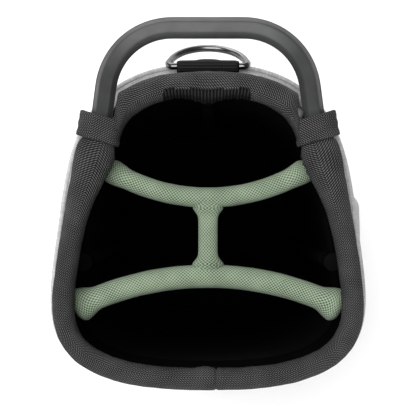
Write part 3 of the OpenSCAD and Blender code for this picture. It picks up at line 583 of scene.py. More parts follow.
def wrap(side):
    """A turned cuff of the rim's mesh around the root of one arm."""
    y0, y1 = ROOT_Y + 8 * MM, ROOT_Y + 25 * MM
    half = 14.6 * MM
    shell = 2.0 * MM
    # One loop in (place along, distance out): out along the face, round the hem, back inside
    t = np.linspace(0, math.pi, 7)
    outer = [(v, shell) for v in np.linspace(0, 1, 22)[1:-1]]
    hem_far = [(1 + 0.05 * math.sin(a), shell / 2 + shell * 0.62 * math.cos(a)) for a in t]
    hem_near = [(-0.05 * math.sin(a), shell / 2 - shell * 0.62 * math.cos(a)) for a in t]
    inner = [(v, 0.0) for v in np.linspace(1, 0, 5)[1:-1]]
    loop = outer + hem_far + inner + hem_near
    rows = []
    around = np.radians(np.arange(72) * 5)
    for v, out in loop:
        y = y0 + (y1 - y0) * v
        row = []
        for angle in around:
            c, s = math.cos(angle), math.sin(angle)
            high = RIM_H / 2 + 0.6 * MM
            slant = 4.5 * MM * c  # the cuff runs further along its outer side
            point = np.array(
                [
                    float(arm_x(y)) + 0.5 * MM + (half + out - 0.9 * MM) * np.sign(c) * abs(c) ** 0.85,
                    y + slant,
                    RIM_MID + (high + out) * np.sign(s) * abs(s) ** 0.85,
                ]
            )
            fold = 0.5 * MM * rumple(point, 9 * MM, 7.0)
            fold += 0.45 * MM * math.sin(v * 5.0 * math.pi) * (0.5 + 0.5 * max(0, -c))
            point[0] += fold * c
            point[2] += fold * s
            row.append(point * [side, 1, 1])
        rows.append(row)
    name = "handle_wrap_left" if side < 0 else "handle_wrap_right"
    obj = grid(name + "_cuff", rows, MESH, around=True, along=True, flip=side > 0)
    return dress(obj, replaces=[name])


def root_tab(side, x, y, turn, width, length, mat):
    """The rounded end of the plastic root that shows beside an arm."""
    count = 40
    t = np.radians(np.arange(count) * 360 / count)
    ex = np.sign(np.cos(t)) * np.abs(np.cos(t)) ** 0.6 * width / 2
    ey = np.sign(np.sin(t)) * np.abs(np.sin(t)) ** 0.6 * length / 2
    c, s = math.cos(math.radians(turn)), math.sin(math.radians(turn))
    rows = []
    base_z = RIM_TOP - 2.5 * MM
    profile = [(0.0, -3), (0.9, -3), (1.0, -2.2), (1.0, 0), (0.93, 0.9), (0.75, 1.3)]
    profile += [(0.4, 1.5), (0.0, 1.5)]  # share of the full size, and height in mm
    for shrink, z in profile:
        px, py = ex * shrink, ey * shrink
        level = np.full(count, base_z + z * MM)
        rows.append(np.stack([x + px * c - py * s, y + px * s + py * c, level], axis=1))
    obj = grid("root_tab_left" if side < 0 else "root_tab_right", rows, mat, around=True)
    return dress(obj)


# ---------------------------------------------------------------- dividers

SPINE_BAR = (25 * MM, 143 * MM, 1)  # y of its middle, bend radius, and which way its ends go
FRONT_BAR = (-35 * MM, 226 * MM, -1)
SLEEVE_R = 7.7 * MM
FRONT_SLEEVE_R = 8.8 * MM


def bar_y(bar, x):
    y, bend, way = bar
    return y + way * (bend - np.sqrt(bend**2 - x**2))


def sleeve(name, bar, radius, half, flare, hook, node):
    """The mesh sleeve of a bent bar, which flares and turns down where it meets the collar."""
    x = np.linspace(-half, half, 150)
    path = np.column_stack([x, bar_y(bar, x), np.full_like(x, BAR_Z)])
    near_end = ease((np.abs(x) - (half - 20 * MM)) / (14 * MM))
    r = radius + flare * near_end
    tip = (half - np.abs(x)) / (7 * MM)
    r = r * np.sqrt(np.clip(1 - (1 - np.clip(tip, 0, 1)) ** 2, 0.02, 1)) ** 0.8
    path[:, 1] += bar[2] * hook * near_end**2
    path[:, 2] -= 2.5 * MM * near_end
    for k in range(len(x)):
        r[k] += 0.25 * MM * rumple(path[k], 10 * MM, radius * 1e3)
    obj = tube(name, path, r, SAGE, 32)
    for v in obj.data.vertices:
        fold = 0.18 * MM * rumple(v.co, 4 * MM)
        v.co.z += fold
    return dress(obj, replaces=[node])


def post_sleeve():
    low, high = FRONT_BAR[0], SPINE_BAR[0]
    y = np.linspace(low, high, 70)
    r = np.full_like(y, 7.4 * MM)
    r += 4.6 * MM * fade(y - (low + FRONT_SLEEVE_R), 4.5 * MM)
    r += 4.2 * MM * fade(y - (high - SLEEVE_R), 4.5 * MM)
    r = np.minimum(r, 12 * MM)
    path = np.column_stack([np.zeros_like(y), y, np.full_like(y, BAR_Z - 0.2 * MM)])
    obj = tube("sleeve_post", path, r, SAGE, 32, flat=0.78)
    dress(obj, replaces=["divider_sleeve_post"])
    seams = []
    for at, lean in ((high - SLEEVE_R - 0.5 * MM, 1), (low + FRONT_SLEEVE_R + 0.5 * MM, -1)):
        x = np.linspace(-11 * MM, 11 * MM, 24)
        z = BAR_Z + 0.78 * np.interp(at, y, r) * np.sqrt(np.clip(1 - (x / (12 * MM)) ** 2, 0, 1)) + 0.1 * MM
        line = np.column_stack([x, at + lean * 0.03 * MM * (x / MM) ** 2 * 0.4, z])
        seams.append(tube("seam", line, 0.45 * MM, SAGE, 8))
    dress(merge("post_seams", seams, SAGE))


def dividers():
    sleeve("sleeve_spine", SPINE_BAR, SLEEVE_R, 79 * MM, 1.6 * MM, 0, "divider_sleeve_spine")
    sleeve("sleeve_front", FRONT_BAR, FRONT_SLEEVE_R, 103 * MM, 4.4 * MM, 0, "divider_sleeve_front")
    post_sleeve()


# ---------------------------------------------------------------- rings

WIRE_R = 2.7 * MM
RING_R = 29.8 * MM
RING_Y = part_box("d_ring")[0].y + WIRE_R
RING_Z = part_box("d_ring")[1].z - WIRE_R
RING_LEAN = 32.3
LOOP_R = 4.6 * MM
WEB_W = 47 * MM
WEB_T = 1.8 * MM
LOW_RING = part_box("lower_d_ring")


def wire_ring(name, body, node, centre, lean):
    """A D-shaped ring of round wire, hanging from its straight side."""
    t = np.radians(np.linspace(0, 180, 60))
    bend = 4.5 * MM
    arc = [(RING_R * math.cos(a), -RING_R * math.sin(a)) for a in t if RING_R * math.sin(a) > bend * 0.8]
    corner = np.radians(np.linspace(0, 90, 7))
    low = arc[0][1]
    right = [(RING_R - 3 * MM * (1 - math.cos(a)), low * (1 - math.sin(a))) for a in corner]
    left = [(-x, y) for x, y in right[::-1]]
    straight = [(x, 0.0) for x in np.linspace(-RING_R + 5 * MM, RING_R - 5 * MM, 9)]
    flat = straight + right[::-1] + arc[1:-1] + left[::-1]
    lean = math.radians(lean)
    path = [(x, centre[1] - y * math.sin(lean), centre[2] + y * math.cos(lean)) for x, y in flat]
    obj = tube(name, path, WIRE_R, GUNMETAL, 20, closed=True, up=(0, 1, 0))
    return dress(obj, body, [node])


def strap(name, profile, width, thick, mats, x=0.0, flip=False):
    """Webbing of that width whose middle line in Y and Z is profile."""
    p = np.array(profile, float)
    d = np.gradient(p, axis=0)
    d /= np.linalg.norm(d, axis=1, keepdims=True)
    n = np.stack([-d[:, 1], d[:, 0]], axis=1)
    edge = 0.8
    section = [(-1, 0), (-edge * 1.1, 0.42), (-0.5, 0.5), (0, 0.5), (0.5, 0.5), (edge * 1.1, 0.42), (1, 0)]
    section += [(edge * 1.1, -0.42), (0.5, -0.5), (0, -0.5), (-0.5, -0.5), (-edge * 1.1, -0.42)]
    rows = []
    for point, way in zip(p, n):
        row = []
        for sx, sy in section:
            y, z = point + way * sy * thick
            row.append((x + sx * width / 2, y, z))
        rows.append(row)
    return grid(name, rows, mats, around=True, caps=True, flip=flip)


def rings():
    wire_ring("d_ring_wire", "d_ring", "d_ring", (0, RING_Y, RING_Z), RING_LEAN)
    low_z = LOW_RING[1].z - WIRE_R
    low_y = (LOW_RING[0].y + LOW_RING[1].y) / 2
    wire_ring("lower_ring_wire", "lower_d_ring", "lower_d_ring", (0, low_y, low_z), 0)
    middle = LOOP_R - WEB_T / 2
    t = np.radians(np.linspace(-90, 205, 40))
    eye = [(RING_Y + middle * math.cos(a), RING_Z + middle * math.sin(a)) for a in t]
    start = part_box("ring_loop")[0].y
    tongue = [(y, RING_Z - middle) for y in np.linspace(start, RING_Y - 1 * MM, 8)]
    loop = strap("ring_webbing", tongue + eye, WEB_W, WEB_T, WEBBING)
    dress(loop, replaces=["ring_loop"])
    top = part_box("lower_ring_loop")[1].z
    back_y = low_y - LOOP_R + WEB_T / 2
    t = np.radians(np.linspace(-180, 95, 36))
    eye = [(low_y + middle * math.cos(a), low_z + middle * math.sin(a)) for a in t]
    tab = [(back_y - 0.3 * MM, z) for z in np.linspace(top, low_z, 20)]
    loop = strap("lower_ring_webbing", tab + eye[1:], WEB_W, WEB_T, WEBBING)
    dress(loop, replaces=["lower_ring_loop"])
    box_stitch("lower_ring_stitches", low_z + 12 * MM, top - 4 * MM, back_y + WEB_T / 2 + 0.3 * MM, 18 * MM)


# ---------------------------------------------------------------- stitches and piping


def stitches(name, path, length=3.2 * MM, gap=1.4 * MM, radius=0.42 * MM, mat=None, body="bag"):
    """Separate stitches along a path that lies on a surface, each one a short rounded thread."""
    mat = mat or THREAD
    p = np.array(path, float)
    run = np.concatenate([[0], np.cumsum(np.linalg.norm(np.diff(p, axis=0), axis=1))])
    count = int(run[-1] / (length + gap))
    made_v, made_f = [], []
    sides = 5
    profile = [(-0.5, 0.0), (-0.45, 0.65), (-0.2, 1.0), (0.2, 1.0), (0.45, 0.65), (0.5, 0.0)]
    for k in range(count):
        s0 = k * (length + gap) + gap / 2
        a = np.array([np.interp(s0, run, p[:, c]) for c in range(3)])
        b = np.array([np.interp(s0 + length, run, p[:, c]) for c in range(3)])
        d = b - a
        size = np.linalg.norm(d)
        if size < 0.5 * length:
            continue
        d /= size
        u = np.cross(d, [0.3, 0.5, 0.81])
        u /= np.linalg.norm(u)
        w = np.cross(d, u)
        base = len(made_v)
        for share, wide in profile:
            for j in range(sides):
                t = 2 * math.pi * j / sides
                spread = radius * max(wide, 0.05)
                point = (a + b) / 2 + d * share * size + (u * math.cos(t) + w * math.sin(t)) * spread
                made_v.append(point)
        for i in range(len(profile) - 1):
            for j in range(sides):
                q, r = base + i * sides, base + (i + 1) * sides
                made_f.append((q + j, r + j, r + (j + 1) % sides, q + (j + 1) % sides))
    obj = make(name, made_v, made_f, mat)
    return dress(obj, body)


def box_stitch(name, z0, z1, y, half):
    """The box with a cross that holds down the end of a strap."""
    corners = [(-half, z0), (half, z0), (half, z1), (-half, z1), (-half, z0), (half, z1)]
    path = [np.array((x, y, z)) for x, z in corners]
    steps = np.linspace(0, 1, 12)
    return stitches(name, [a + (b - a) * t for a, b in zip(path, path[1:]) for t in steps])


def around_bag(out, z, step=3 * MM, a0=0, a1=360):
    """A level path around the body, out from the cuff's outline."""
    angles = even_angles(a0, a1, step)
    out = out(angles) if callable(out) else out
    return np.column_stack([cuff(angles, out), np.full(len(angles), z)])


# ---------------------------------------------------------------- collar and body


def band_out(a):
    return 5 * MM + 3 * MM * np.sin(np.radians(a))


def collar_band():
    """The padded band, its two edges rounded in, with quilting grooves across it."""
    angles = even_angles(0, 360, 3 * MM)[:-1]
    out = band_out(angles)
    inner = -6.6 * MM
    high = BAND_Z1 - BAND_Z0
    steps = []  # share of the way up, share of the full thickness
    for t in np.linspace(0, 90, 7):
        steps.append((0.07 * (1 - math.cos(math.radians(t))), math.sin(math.radians(t))))
    steps += [(v, 1.0) for v in np.linspace(0.1, 0.9, 26)]
    for t in np.linspace(90, 0, 7):
        steps.append((1 - 0.07 * (1 - math.cos(math.radians(t))), math.sin(math.radians(t))))
    rows = []
    for share, full in steps:
        z = BAND_Z0 + high * share
        groove = sum(fade(share - g, 0.022) for g in (0.33, 0.66))
        crown = 0.9 * MM * math.sin(math.pi * share * 3) ** 2
        reach = inner + (out - inner) * full + (crown - 1.7 * MM * groove) * full
        xy = cuff(angles, reach)
        row = []
        for k, point in enumerate(xy):
            p = np.array([point[0], point[1], z])
            fold = 0.5 * MM * rumple(p, 26 * MM, 1.0) * full
            p[:2] += normals(angles[k]) * fold
            row.append(p)
        rows.append(row)
    inside = cuff(angles, inner - 0.02 * MM)
    rows.append(np.column_stack([inside, np.full(len(angles), BAND_Z1 - 0.5 * MM)]))
    rows.append(np.column_stack([inside, np.full(len(angles), BAND_Z0 + 0.5 * MM)]))
    obj = grid("collar_pad", rows, HEATHER, around=True, along=True, flip=True)
    dress(obj, replaces=["collar_band"])
    for name, z, mat in (
        ("collar_piping_low", BAND_Z0 + 0.5 * MM, PIPING),
        ("collar_piping_high", BAND_Z1 - 2.5 * MM, HEATHER),
    ):
        path = around_bag(lambda a: band_out(a) - 1.5 * MM, z)[:-1]
        dress(tube(name, path, 1.7 * MM, mat, 10, closed=True))
    for name, share in (("collar_quilting_low", 0.33), ("collar_quilting_high", 0.66)):
        path = around_bag(lambda a: band_out(a) - 1.15 * MM, BAND_Z0 + high * share)
        stitches(name, path)


def body_panel(name, node, a0, a1, z0, z1):
    """One of the body's cloth panels: a stretched shell that sags a little between its edges."""
    angles = even_angles(a0, a1, 5 * MM)
    heights = np.linspace(z0, z1, 90)
    width = np.linspace(0, 1, len(angles))

    def sheet_rows(shift):
        rows = []
        for z in heights:
            up = (z - z0) / (z1 - z0)
            row = []
            for k, a in enumerate(angles):
                edge = ease(min(width[k], 1 - width[k]) / 0.12)
                ends = ease(min(up, 1 - up) / 0.06)
                p = cuff(a, BODY_OUT)
                at = np.array([p[0], p[1], z])
                fold = 0.9 * MM * rumple((at[0], at[1], at[2] / 2.2), 38 * MM, 5.0)
                fold += 0.35 * MM * rumple((at[0], at[1], at[2] / 1.3), 13 * MM, 9.0)
                fold -= 0.7 * MM
                tuck = -1.2 * MM * (1 - ease(min(width[k], 1 - width[k]) / 0.03))
                q = cuff(a, BODY_OUT + shift + fold * edge * ends + tuck)
                row.append((q[0], q[1], z))
            rows.append(row)
        return rows

    outer = sheet_rows(0)
    inner = sheet_rows(-1.2 * MM)
    rows = [list(o) + list(i)[::-1] for o, i in zip(outer, inner)]
    obj = grid(name, rows, HEATHER, around=True, caps=True, flip=True)
    return dress(obj, replaces=[node])


SPINE_SEAM = 60
FRONT_SEAM = 305
SEAMS = {
    "right_front": FRONT_SEAM - 360,
    "right_spine": SPINE_SEAM,
    "left_spine": 180 - SPINE_SEAM,
    "left_front": 540 - FRONT_SEAM,
}


def body():
    z0, z1 = LEDGE_Z, BAND_Z0 + 1.5 * MM
    for side, a0, a1 in (
        ("front", SEAMS["left_front"], FRONT_SEAM),
        ("left", SEAMS["left_spine"], SEAMS["left_front"]),
        ("right", SEAMS["right_front"], SPINE_SEAM),
        ("spine", SPINE_SEAM, SEAMS["left_spine"]),
    ):
        body_panel("body_panel_" + side, side + "_panel", a0, a1, z0, z1)
    base_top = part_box("base_tray")[1].z
    for name, a in SEAMS.items():
        z = np.linspace(base_top - 2 * MM, BAND_Z0 + 1 * MM, 90)
        p = cuff(float(a), BODY_OUT + 0.5 * MM)
        path = np.column_stack([np.full_like(z, p[0]), np.full_like(z, p[1]), z])
        dress(tube("seam_piping_" + name, path, 1.7 * MM, PIPING, 10, up=(0, 1, 0)))
        for k, turn in enumerate((-3.0, 3.0)):
            q = cuff(float(a + turn), BODY_OUT + 0.15 * MM)
            line = np.column_stack([np.full_like(z, q[0]), np.full_like(z, q[1]), z])
            stitches(f"seam_stitches_{name}_{k + 1}", line)


def lining():
    """The dark lining, which hangs in soft folds inside the panels, and dark sleeves over the stays; the
    lining's near-black is partly real and partly painted shade, and the sleeves are painted shade.
    """
    low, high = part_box("lining")
    angles = even_angles(0, 360, 6 * MM)[:-1]
    rows = []
    for z in np.linspace(low.z + 1 * MM, high.z, 60):
        row = []
        for a in angles:
            p = cuff(a, BODY_IN)
            fold = 0.8 * MM * rumple((p[0], p[1], z / 3), 22 * MM, 2.0) - 0.9 * MM
            q = cuff(a, BODY_IN + fold)
            row.append((q[0], q[1], z))
        rows.append(row)
    obj = grid("lining_cloth", rows, LINING, around=True)
    modifier(obj, "SOLIDIFY", thickness=0.5 * MM, offset=0)
    dress(obj, replaces=["lining"])
    # Sleeves of the near-black lining over the metal stays: painted shade, so the stays read as part of the
    # black wells.
    for name in ("stay_left", "stay_right", "stay_spine"):
        low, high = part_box(name)
        x, y = (low.x + high.x) / 2, (low.y + high.y) / 2
        z = np.linspace(low.z + 36 * MM, high.z - 30 * MM, 50)
        path = np.column_stack([np.full_like(z, x), np.full_like(z, y), z])
        r = [6.2 * MM + 0.5 * MM * rumple(p, 18 * MM) for p in path]
        dress(tube(name + "_sleeve", path, r, LINING, 18, up=(0, 1, 0)))


def well_sheets():
    """The sheets that separate the wells, each hanging from its bar in shallow folds."""
    edge = -13.2 * MM
    for name, node, bar in (
        ("well_cloth_spine", "well_sheet_spine", SPINE_BAR),
        ("well_cloth_front", "well_sheet_front", FRONT_BAR),
    ):
        low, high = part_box(node)
        x = np.linspace(low.x + 0.5 * MM, high.x - 0.5 * MM, 50)
        y = bar_y(bar, x)
        rows = []
        for z in np.linspace(low.z, high.z, 60):
            hang = ease((high.z - z) / 0.12) * ease((z - low.z) / 0.05 + 0.2)
            fold = [1.6 * MM * rumple((a, 0, z / 4), 30 * MM, 4.0) * hang for a in x]
            side = ease((high.x - np.abs(x)) / (12 * MM))
            rows.append(np.column_stack([x, y + np.array(fold) * side, np.full_like(x, z)]))
        obj = grid(name, rows, LINING)
        modifier(obj, "SOLIDIFY", thickness=0.9 * MM, offset=0)
        dress(obj, replaces=[node])
    low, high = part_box("well_sheet_centre")
    y = np.linspace(low.y, high.y, 24)
    rows = []
    for z in np.linspace(low.z, high.z, 60):
        hang = ease((high.z - z) / 0.12) * np.sin(np.pi * (y - low.y) / (high.y - low.y))
        fold = np.array([1.6 * MM * rumple((0, b, z / 4), 26 * MM, 6.0) for b in y])
        rows.append(np.column_stack([fold * hang, y, np.full_like(y, z)]))
    obj = grid("well_cloth_centre", rows, LINING)
    modifier(obj, "SOLIDIFY", thickness=0.9 * MM, offset=0)
    dress(obj, replaces=["well_sheet_centre"])
    # The foam pad on the floor, crowned and rounded at its edge
    low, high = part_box("base_pad")
    angles = even_angles(0, 360, 5 * MM)[:-1]
    rim_line = cuff(angles, edge + 2.4 * MM)
    thick = high.z - low.z
    profile = [(0.02, 0.02), (0.97, 0.02), (1.0, 0.3), (1.0, 0.6), (0.985, 0.85), (0.95, 1.0), (0.6, 1.02)]
    profile += [(0.02, 1.03)]
    rows = [np.column_stack([rim_line * s, np.full(len(angles), low.z + thick * t)]) for s, t in profile]
    obj = grid("floor_pad", rows, LINING, around=True, caps=True)
    dress(obj, replaces=["base_pad"])


def base():
    """The moulded base: a rounded foot, an upright wall with shallow ribs and a lip at the top."""
    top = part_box("base_tray")[1].z
    out = BODY_OUT + 2.4 * MM
    profile = [  # how far out, how high, and how strong the ribs are there
        (-60, 0.6, 0), (-14, 0.6, 0), (-7.5, 0.6, 0), (-4.5, 1.3, 0), (-2.2, 3.2, 0), (-0.8, 6, 0.2),
        (-0.2, 10, 1), (0, 16, 1), (0, 22, 1), (0, 30, 1), (0, 38, 1), (-0.1, 42, 1), (-0.1, 44, 0.3),
        (-0.1, 45.5, 0), (0.9, 47, 0), (1.3, 48.5, 0), (1.3, 56, 0), (0.9, 58.6, 0), (0.1, 59.7, 0),
        (-1.2, 60, 0), (-2.2, 59.6, 0), (-2.35, 58, 0), (-2.35, 43, 0), (-8.7, 42, 0), (-8.7, 4.5, 0),
        (-14, 4, 0), (-60, 4, 0),
    ]
    angles = even_angles(0, 360, 2 * MM)[:-1]
    run = np.arange(len(angles)) * 2 * MM
    rows = []
    for reach, z, rib in profile:
        ribs = 0.9 * MM * rib * (np.sin(run / (10 * MM) * 2 * np.pi) > 0.55)
        if reach <= -60:
            xy = cuff(angles, out - 14 * MM) * 0.05
        else:
            xy = cuff(angles, out + reach * MM - ribs)
        rows.append(np.column_stack([xy, np.full(len(angles), z * MM * top / 0.06)]))
    obj = grid("base_shell", rows, [PLASTIC, LINING], around=True, along=True, flip=True)
    # The shell's inside wall and floor take the near-black lining in place of the plastic: painted shade on
    # the deep well's floor.
    dark = [k for k, row in enumerate(profile) if k >= 22 or row[0] == -60 and row[1] > 1]
    count = len(angles)
    index = [1 if k // count in dark else 0 for k in range(len(obj.data.polygons))]
    obj.data.polygons.foreach_set("material_index", index)
    modifier(obj, "EDGE_SPLIT", split_angle=math.radians(50))
    dress(obj, replaces=["base_tray"])


# ---------------------------------------------------------------- pockets


def pocket_plan(low, high, r):
    """Half outline of a pocket's plan from its right back corner round the front to the left,
    with the way out at each point and how far along the front it is."""
    w, back = (high.x - low.x) / 2, high.y
    cx = (high.x + low.x) / 2
    right, left, turn_y = cx + w - r, cx - w + r, low.y + r
    quarter = np.radians(np.linspace(0, 90, 12))
    pts = [(cx + w, y) for y in np.linspace(back, turn_y, 16)[:-1]]
    pts += [(right + r * math.cos(t), turn_y - r * math.sin(t)) for t in quarter]
    pts += [(x, low.y) for x in np.linspace(right, left, 40)[1:-1]]
    pts += [(left - r * math.sin(t), turn_y - r * math.cos(t)) for t in quarter]
    pts += [(cx - w, y) for y in np.linspace(turn_y, back, 16)[1:]]
    p = np.array(pts)
    d = np.gradient(p, axis=0)
    n = np.stack([d[:, 1], -d[:, 0]], axis=1)
    n /= np.linalg.norm(n, axis=1, keepdims=True)
    return p, -n if n[0, 0] < 0 else n


def turned(points, face):
    """Brings points of a pocket seen from its front into place: 0 front, 1 left and 2 right."""
    p = np.array(points, float)
    if face == 1:
        p = np.stack([p[..., 1], -p[..., 0], p[..., 2]], axis=-1)
    if face == 2:
        p = np.stack([-p[..., 1], p[..., 0], p[..., 2]], axis=-1)
    return p


class Box:
    """A pocket's box in its own frame, with the front towards -Y."""

    def __init__(self, node, face):
        low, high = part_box(node)
        if face == 0:
            self.low, self.high = Vector(low), Vector(high)
        if face == 1:
            self.low, self.high = Vector((-high.y, low.x, low.z)), Vector((-low.y, high.x, high.z))
        if face == 2:
            self.low, self.high = Vector((low.y, -high.x, low.z)), Vector((high.y, -low.x, high.z))


def pocket(name, node, face, r, bulge, zip_at=None, open_top=False, seed=0.0):
    """A sewn pocket: crowned faces, rounded at its top and bottom, fuller low down, flat where
    its zip runs. zip_at is ("level", z) or ("upright", x) in the pocket's own frame."""
    b = Box(node, face)
    spread = 30 * MM if face == 0 else 34 * MM  # over which a rounded edge is drawn in
    back = b.high.y
    plan, way = pocket_plan(Vector((b.low.x, b.low.y, 0)), Vector((b.high.x, back, 0)), r)
    plan_centre = np.array([(b.low.x + b.high.x) / 2, back])
    height = b.high.z - b.low.z
    edge = min(16 * MM, height * 0.12)
    quarter = [(1 - math.cos(t), edge * (1 - math.sin(t))) for t in np.radians(np.linspace(0, 90, 8))]
    # Heights, each with how far the edge is rounded in there
    levels = [(b.low.z + edge * up * 0.9, inset) for up, inset in quarter]
    levels += [(z, 0.0) for z in np.linspace(b.low.z + edge * 0.9, b.high.z - edge * 0.7, 64)[1:-1]]
    if open_top:
        levels += [(z, 0.0) for z in np.linspace(b.high.z - edge * 0.7, b.high.z, 8)]
    else:
        levels += [(b.high.z - edge * up * 0.7, inset) for up, inset in quarter[::-1]]

    def section(z, inset, shell=0.0, calm=1.0):
        up = (z - b.low.z) / height
        full = math.sin(math.pi * min(1, max(0, up * 0.94 + 0.03))) ** 0.6
        low_full = 0.55 + 0.45 * math.cos(math.pi * min(1, up))
        lean = 14 * MM * ease((z - b.high.z + 90 * MM) / (80 * MM)) if open_top else 0.0
        row = []
        for p, n in zip(plan, way):
            middle = 1 - abs(p[0] - plan_centre[0]) / ((b.high.x - b.low.x) / 2)
            swell = bulge * full * (0.35 + 0.65 * low_full) * (0.25 + 0.75 * ease(middle * 1.6))
            at = (p[0], p[1], z)
            fold = 1.5 * MM * rumple((p[0], p[1], z / 1.4), 42 * MM, seed)
            fold += 0.6 * MM * rumple(at, 15 * MM, seed + 4)
            quiet = 0.0
            if zip_at and p[1] < b.low.y + r * 0.6:
                off = z - zip_at[1] if zip_at[0] == "level" else p[0] - zip_at[1]
                quiet = 1 - ease((abs(off) - 12 * MM) / (16 * MM))
            move = (swell - 1.0 * MM + fold * full * calm) * (1 - quiet) - 0.4 * MM * quiet
            q = p + n * (move - shell)
            drawn = (inset + lean) / max(spread, back - b.low.y)
            q = q + (plan_centre - q) * [0.25 * inset / spread, drawn]
            row.append((q[0], q[1], z))
        return row

    rows = [section(z, inset) for z, inset in levels]
    if open_top:
        thick = 2.2 * MM
        for t in np.linspace(30, 150, 5):
            z = b.high.z + thick / 2 * math.sin(math.radians(t))
            row = np.array(section(b.high.z, 0.0, thick / 2 * (1 - math.cos(math.radians(t)))))
            row[:, 2] = z
            rows.append(row)
        inner = [(z, inset) for z, inset in levels[::-1] if z > b.low.z + 8 * MM]
        rows += [section(z, inset, thick) for z, inset in inner]
        floor = np.array(rows[-1])
        rows.append(floor * [1, 0, 1] + [0, back, 0])
    else:
        lid, middle = np.array(rows[-1]), np.array([*plan_centre, b.high.z])
        rows += [lid + (middle - lid) * [s * 0.3, s, 1] for s in (0.25, 0.5, 0.75, 1.0)]
    first, middle = np.array(rows[0]), np.array([*plan_centre, b.low.z])
    under = [first + (middle - first) * [s * 0.3, s, 1] for s in (1.0, 0.66, 0.33)]
    rows = [outside_body(turned(row, face)) for row in under + rows]
    obj = grid(name, rows, [HEATHER, CHARCOAL])
    gusset = [0 if open_top or (abs(n[1]) >= 0.6 and p[1] <= b.low.y + r) else 1 for p, n in zip(plan, way)]
    across = len(plan) - 1
    obj.data.polygons.foreach_set(
        "material_index", [gusset[k % across] for k in range(len(obj.data.polygons))]
    )
    dress(obj, replaces=[node])

    # Piping where the front face meets the gusset, with a line of stitches beside it
    corner = [k for k, n in enumerate(way) if abs(n[1]) > 0.6 and plan[k][1] < b.low.y + r]
    first_k, last_k = corner[0], corner[-1]
    outer = {k: np.array([section(z, inset)[k] for z, inset in levels]) for k in (first_k, last_k)}
    bottom = np.array(section(*levels[4]))[first_k : last_k + 1]
    side_a, side_b = outer[first_k][4:], outer[last_k][4:]
    if open_top:
        line = np.concatenate([side_a[::-1], bottom[1:-1], side_b])
    else:
        top = np.array(section(*levels[-5]))[first_k : last_k + 1]
        side_a, side_b = side_a[:-4], side_b[:-4]
        line = np.concatenate([side_a[::-1], bottom[1:-1], side_b, top[::-1][1:-1]])
    centre = np.array([plan_centre[0], b.low.y, (b.low.z + b.high.z) / 2])
    route = outside_body(turned(line, face))
    cord = tube(name + "_piping", route, 1.5 * MM, PIPING, 8, closed=not open_top, up=(0.2, 0.3, 0.9))
    dress(cord)
    inward = centre - line
    inward[:, 1] = 0
    inward /= np.linalg.norm(inward, axis=1, keepdims=True)
    seam = line + inward * 5.5 * MM - np.array([0, 0.5 * MM, 0])
    stitch_line = on_surface(obj, turned(seam, face))
    stitches(name + "_stitches", stitch_line)
    return obj


def outside_body(points):
    """Brings points that lie inside the body out to just under its face."""
    angles = np.linspace(0, 360, 721)[:-1]
    ring, way = cuff(angles, BODY_OUT - 0.9 * MM), normals(angles)
    p = np.array(points, float)
    near = np.linalg.norm(p[:, None, :2] - ring[None], axis=2).argmin(axis=1)
    inside = ((p[:, :2] - ring[near]) * way[near]).sum(axis=1) < 0
    p[inside, :2] = ring[near][inside]
    return p


def on_surface(obj, points):
    """Moves points onto the nearest place on a mesh, a little proud of it."""
    placed = []
    for p in points:
        hit, at, n = obj.closest_point_on_mesh(Vector(p))[:3]
        placed.append(tuple(at + n * 0.15 * MM) if hit else tuple(p))
    return placed


# A zip's tooth: how far each of its sections reaches past the middle in mm, and its thickness
TOOTH = [(2.4, 0.05), (2.3, 0.7), (1.4, 0.85), (0.0, 0.8), (-0.5, 0.95), (-0.8, 0.05)]


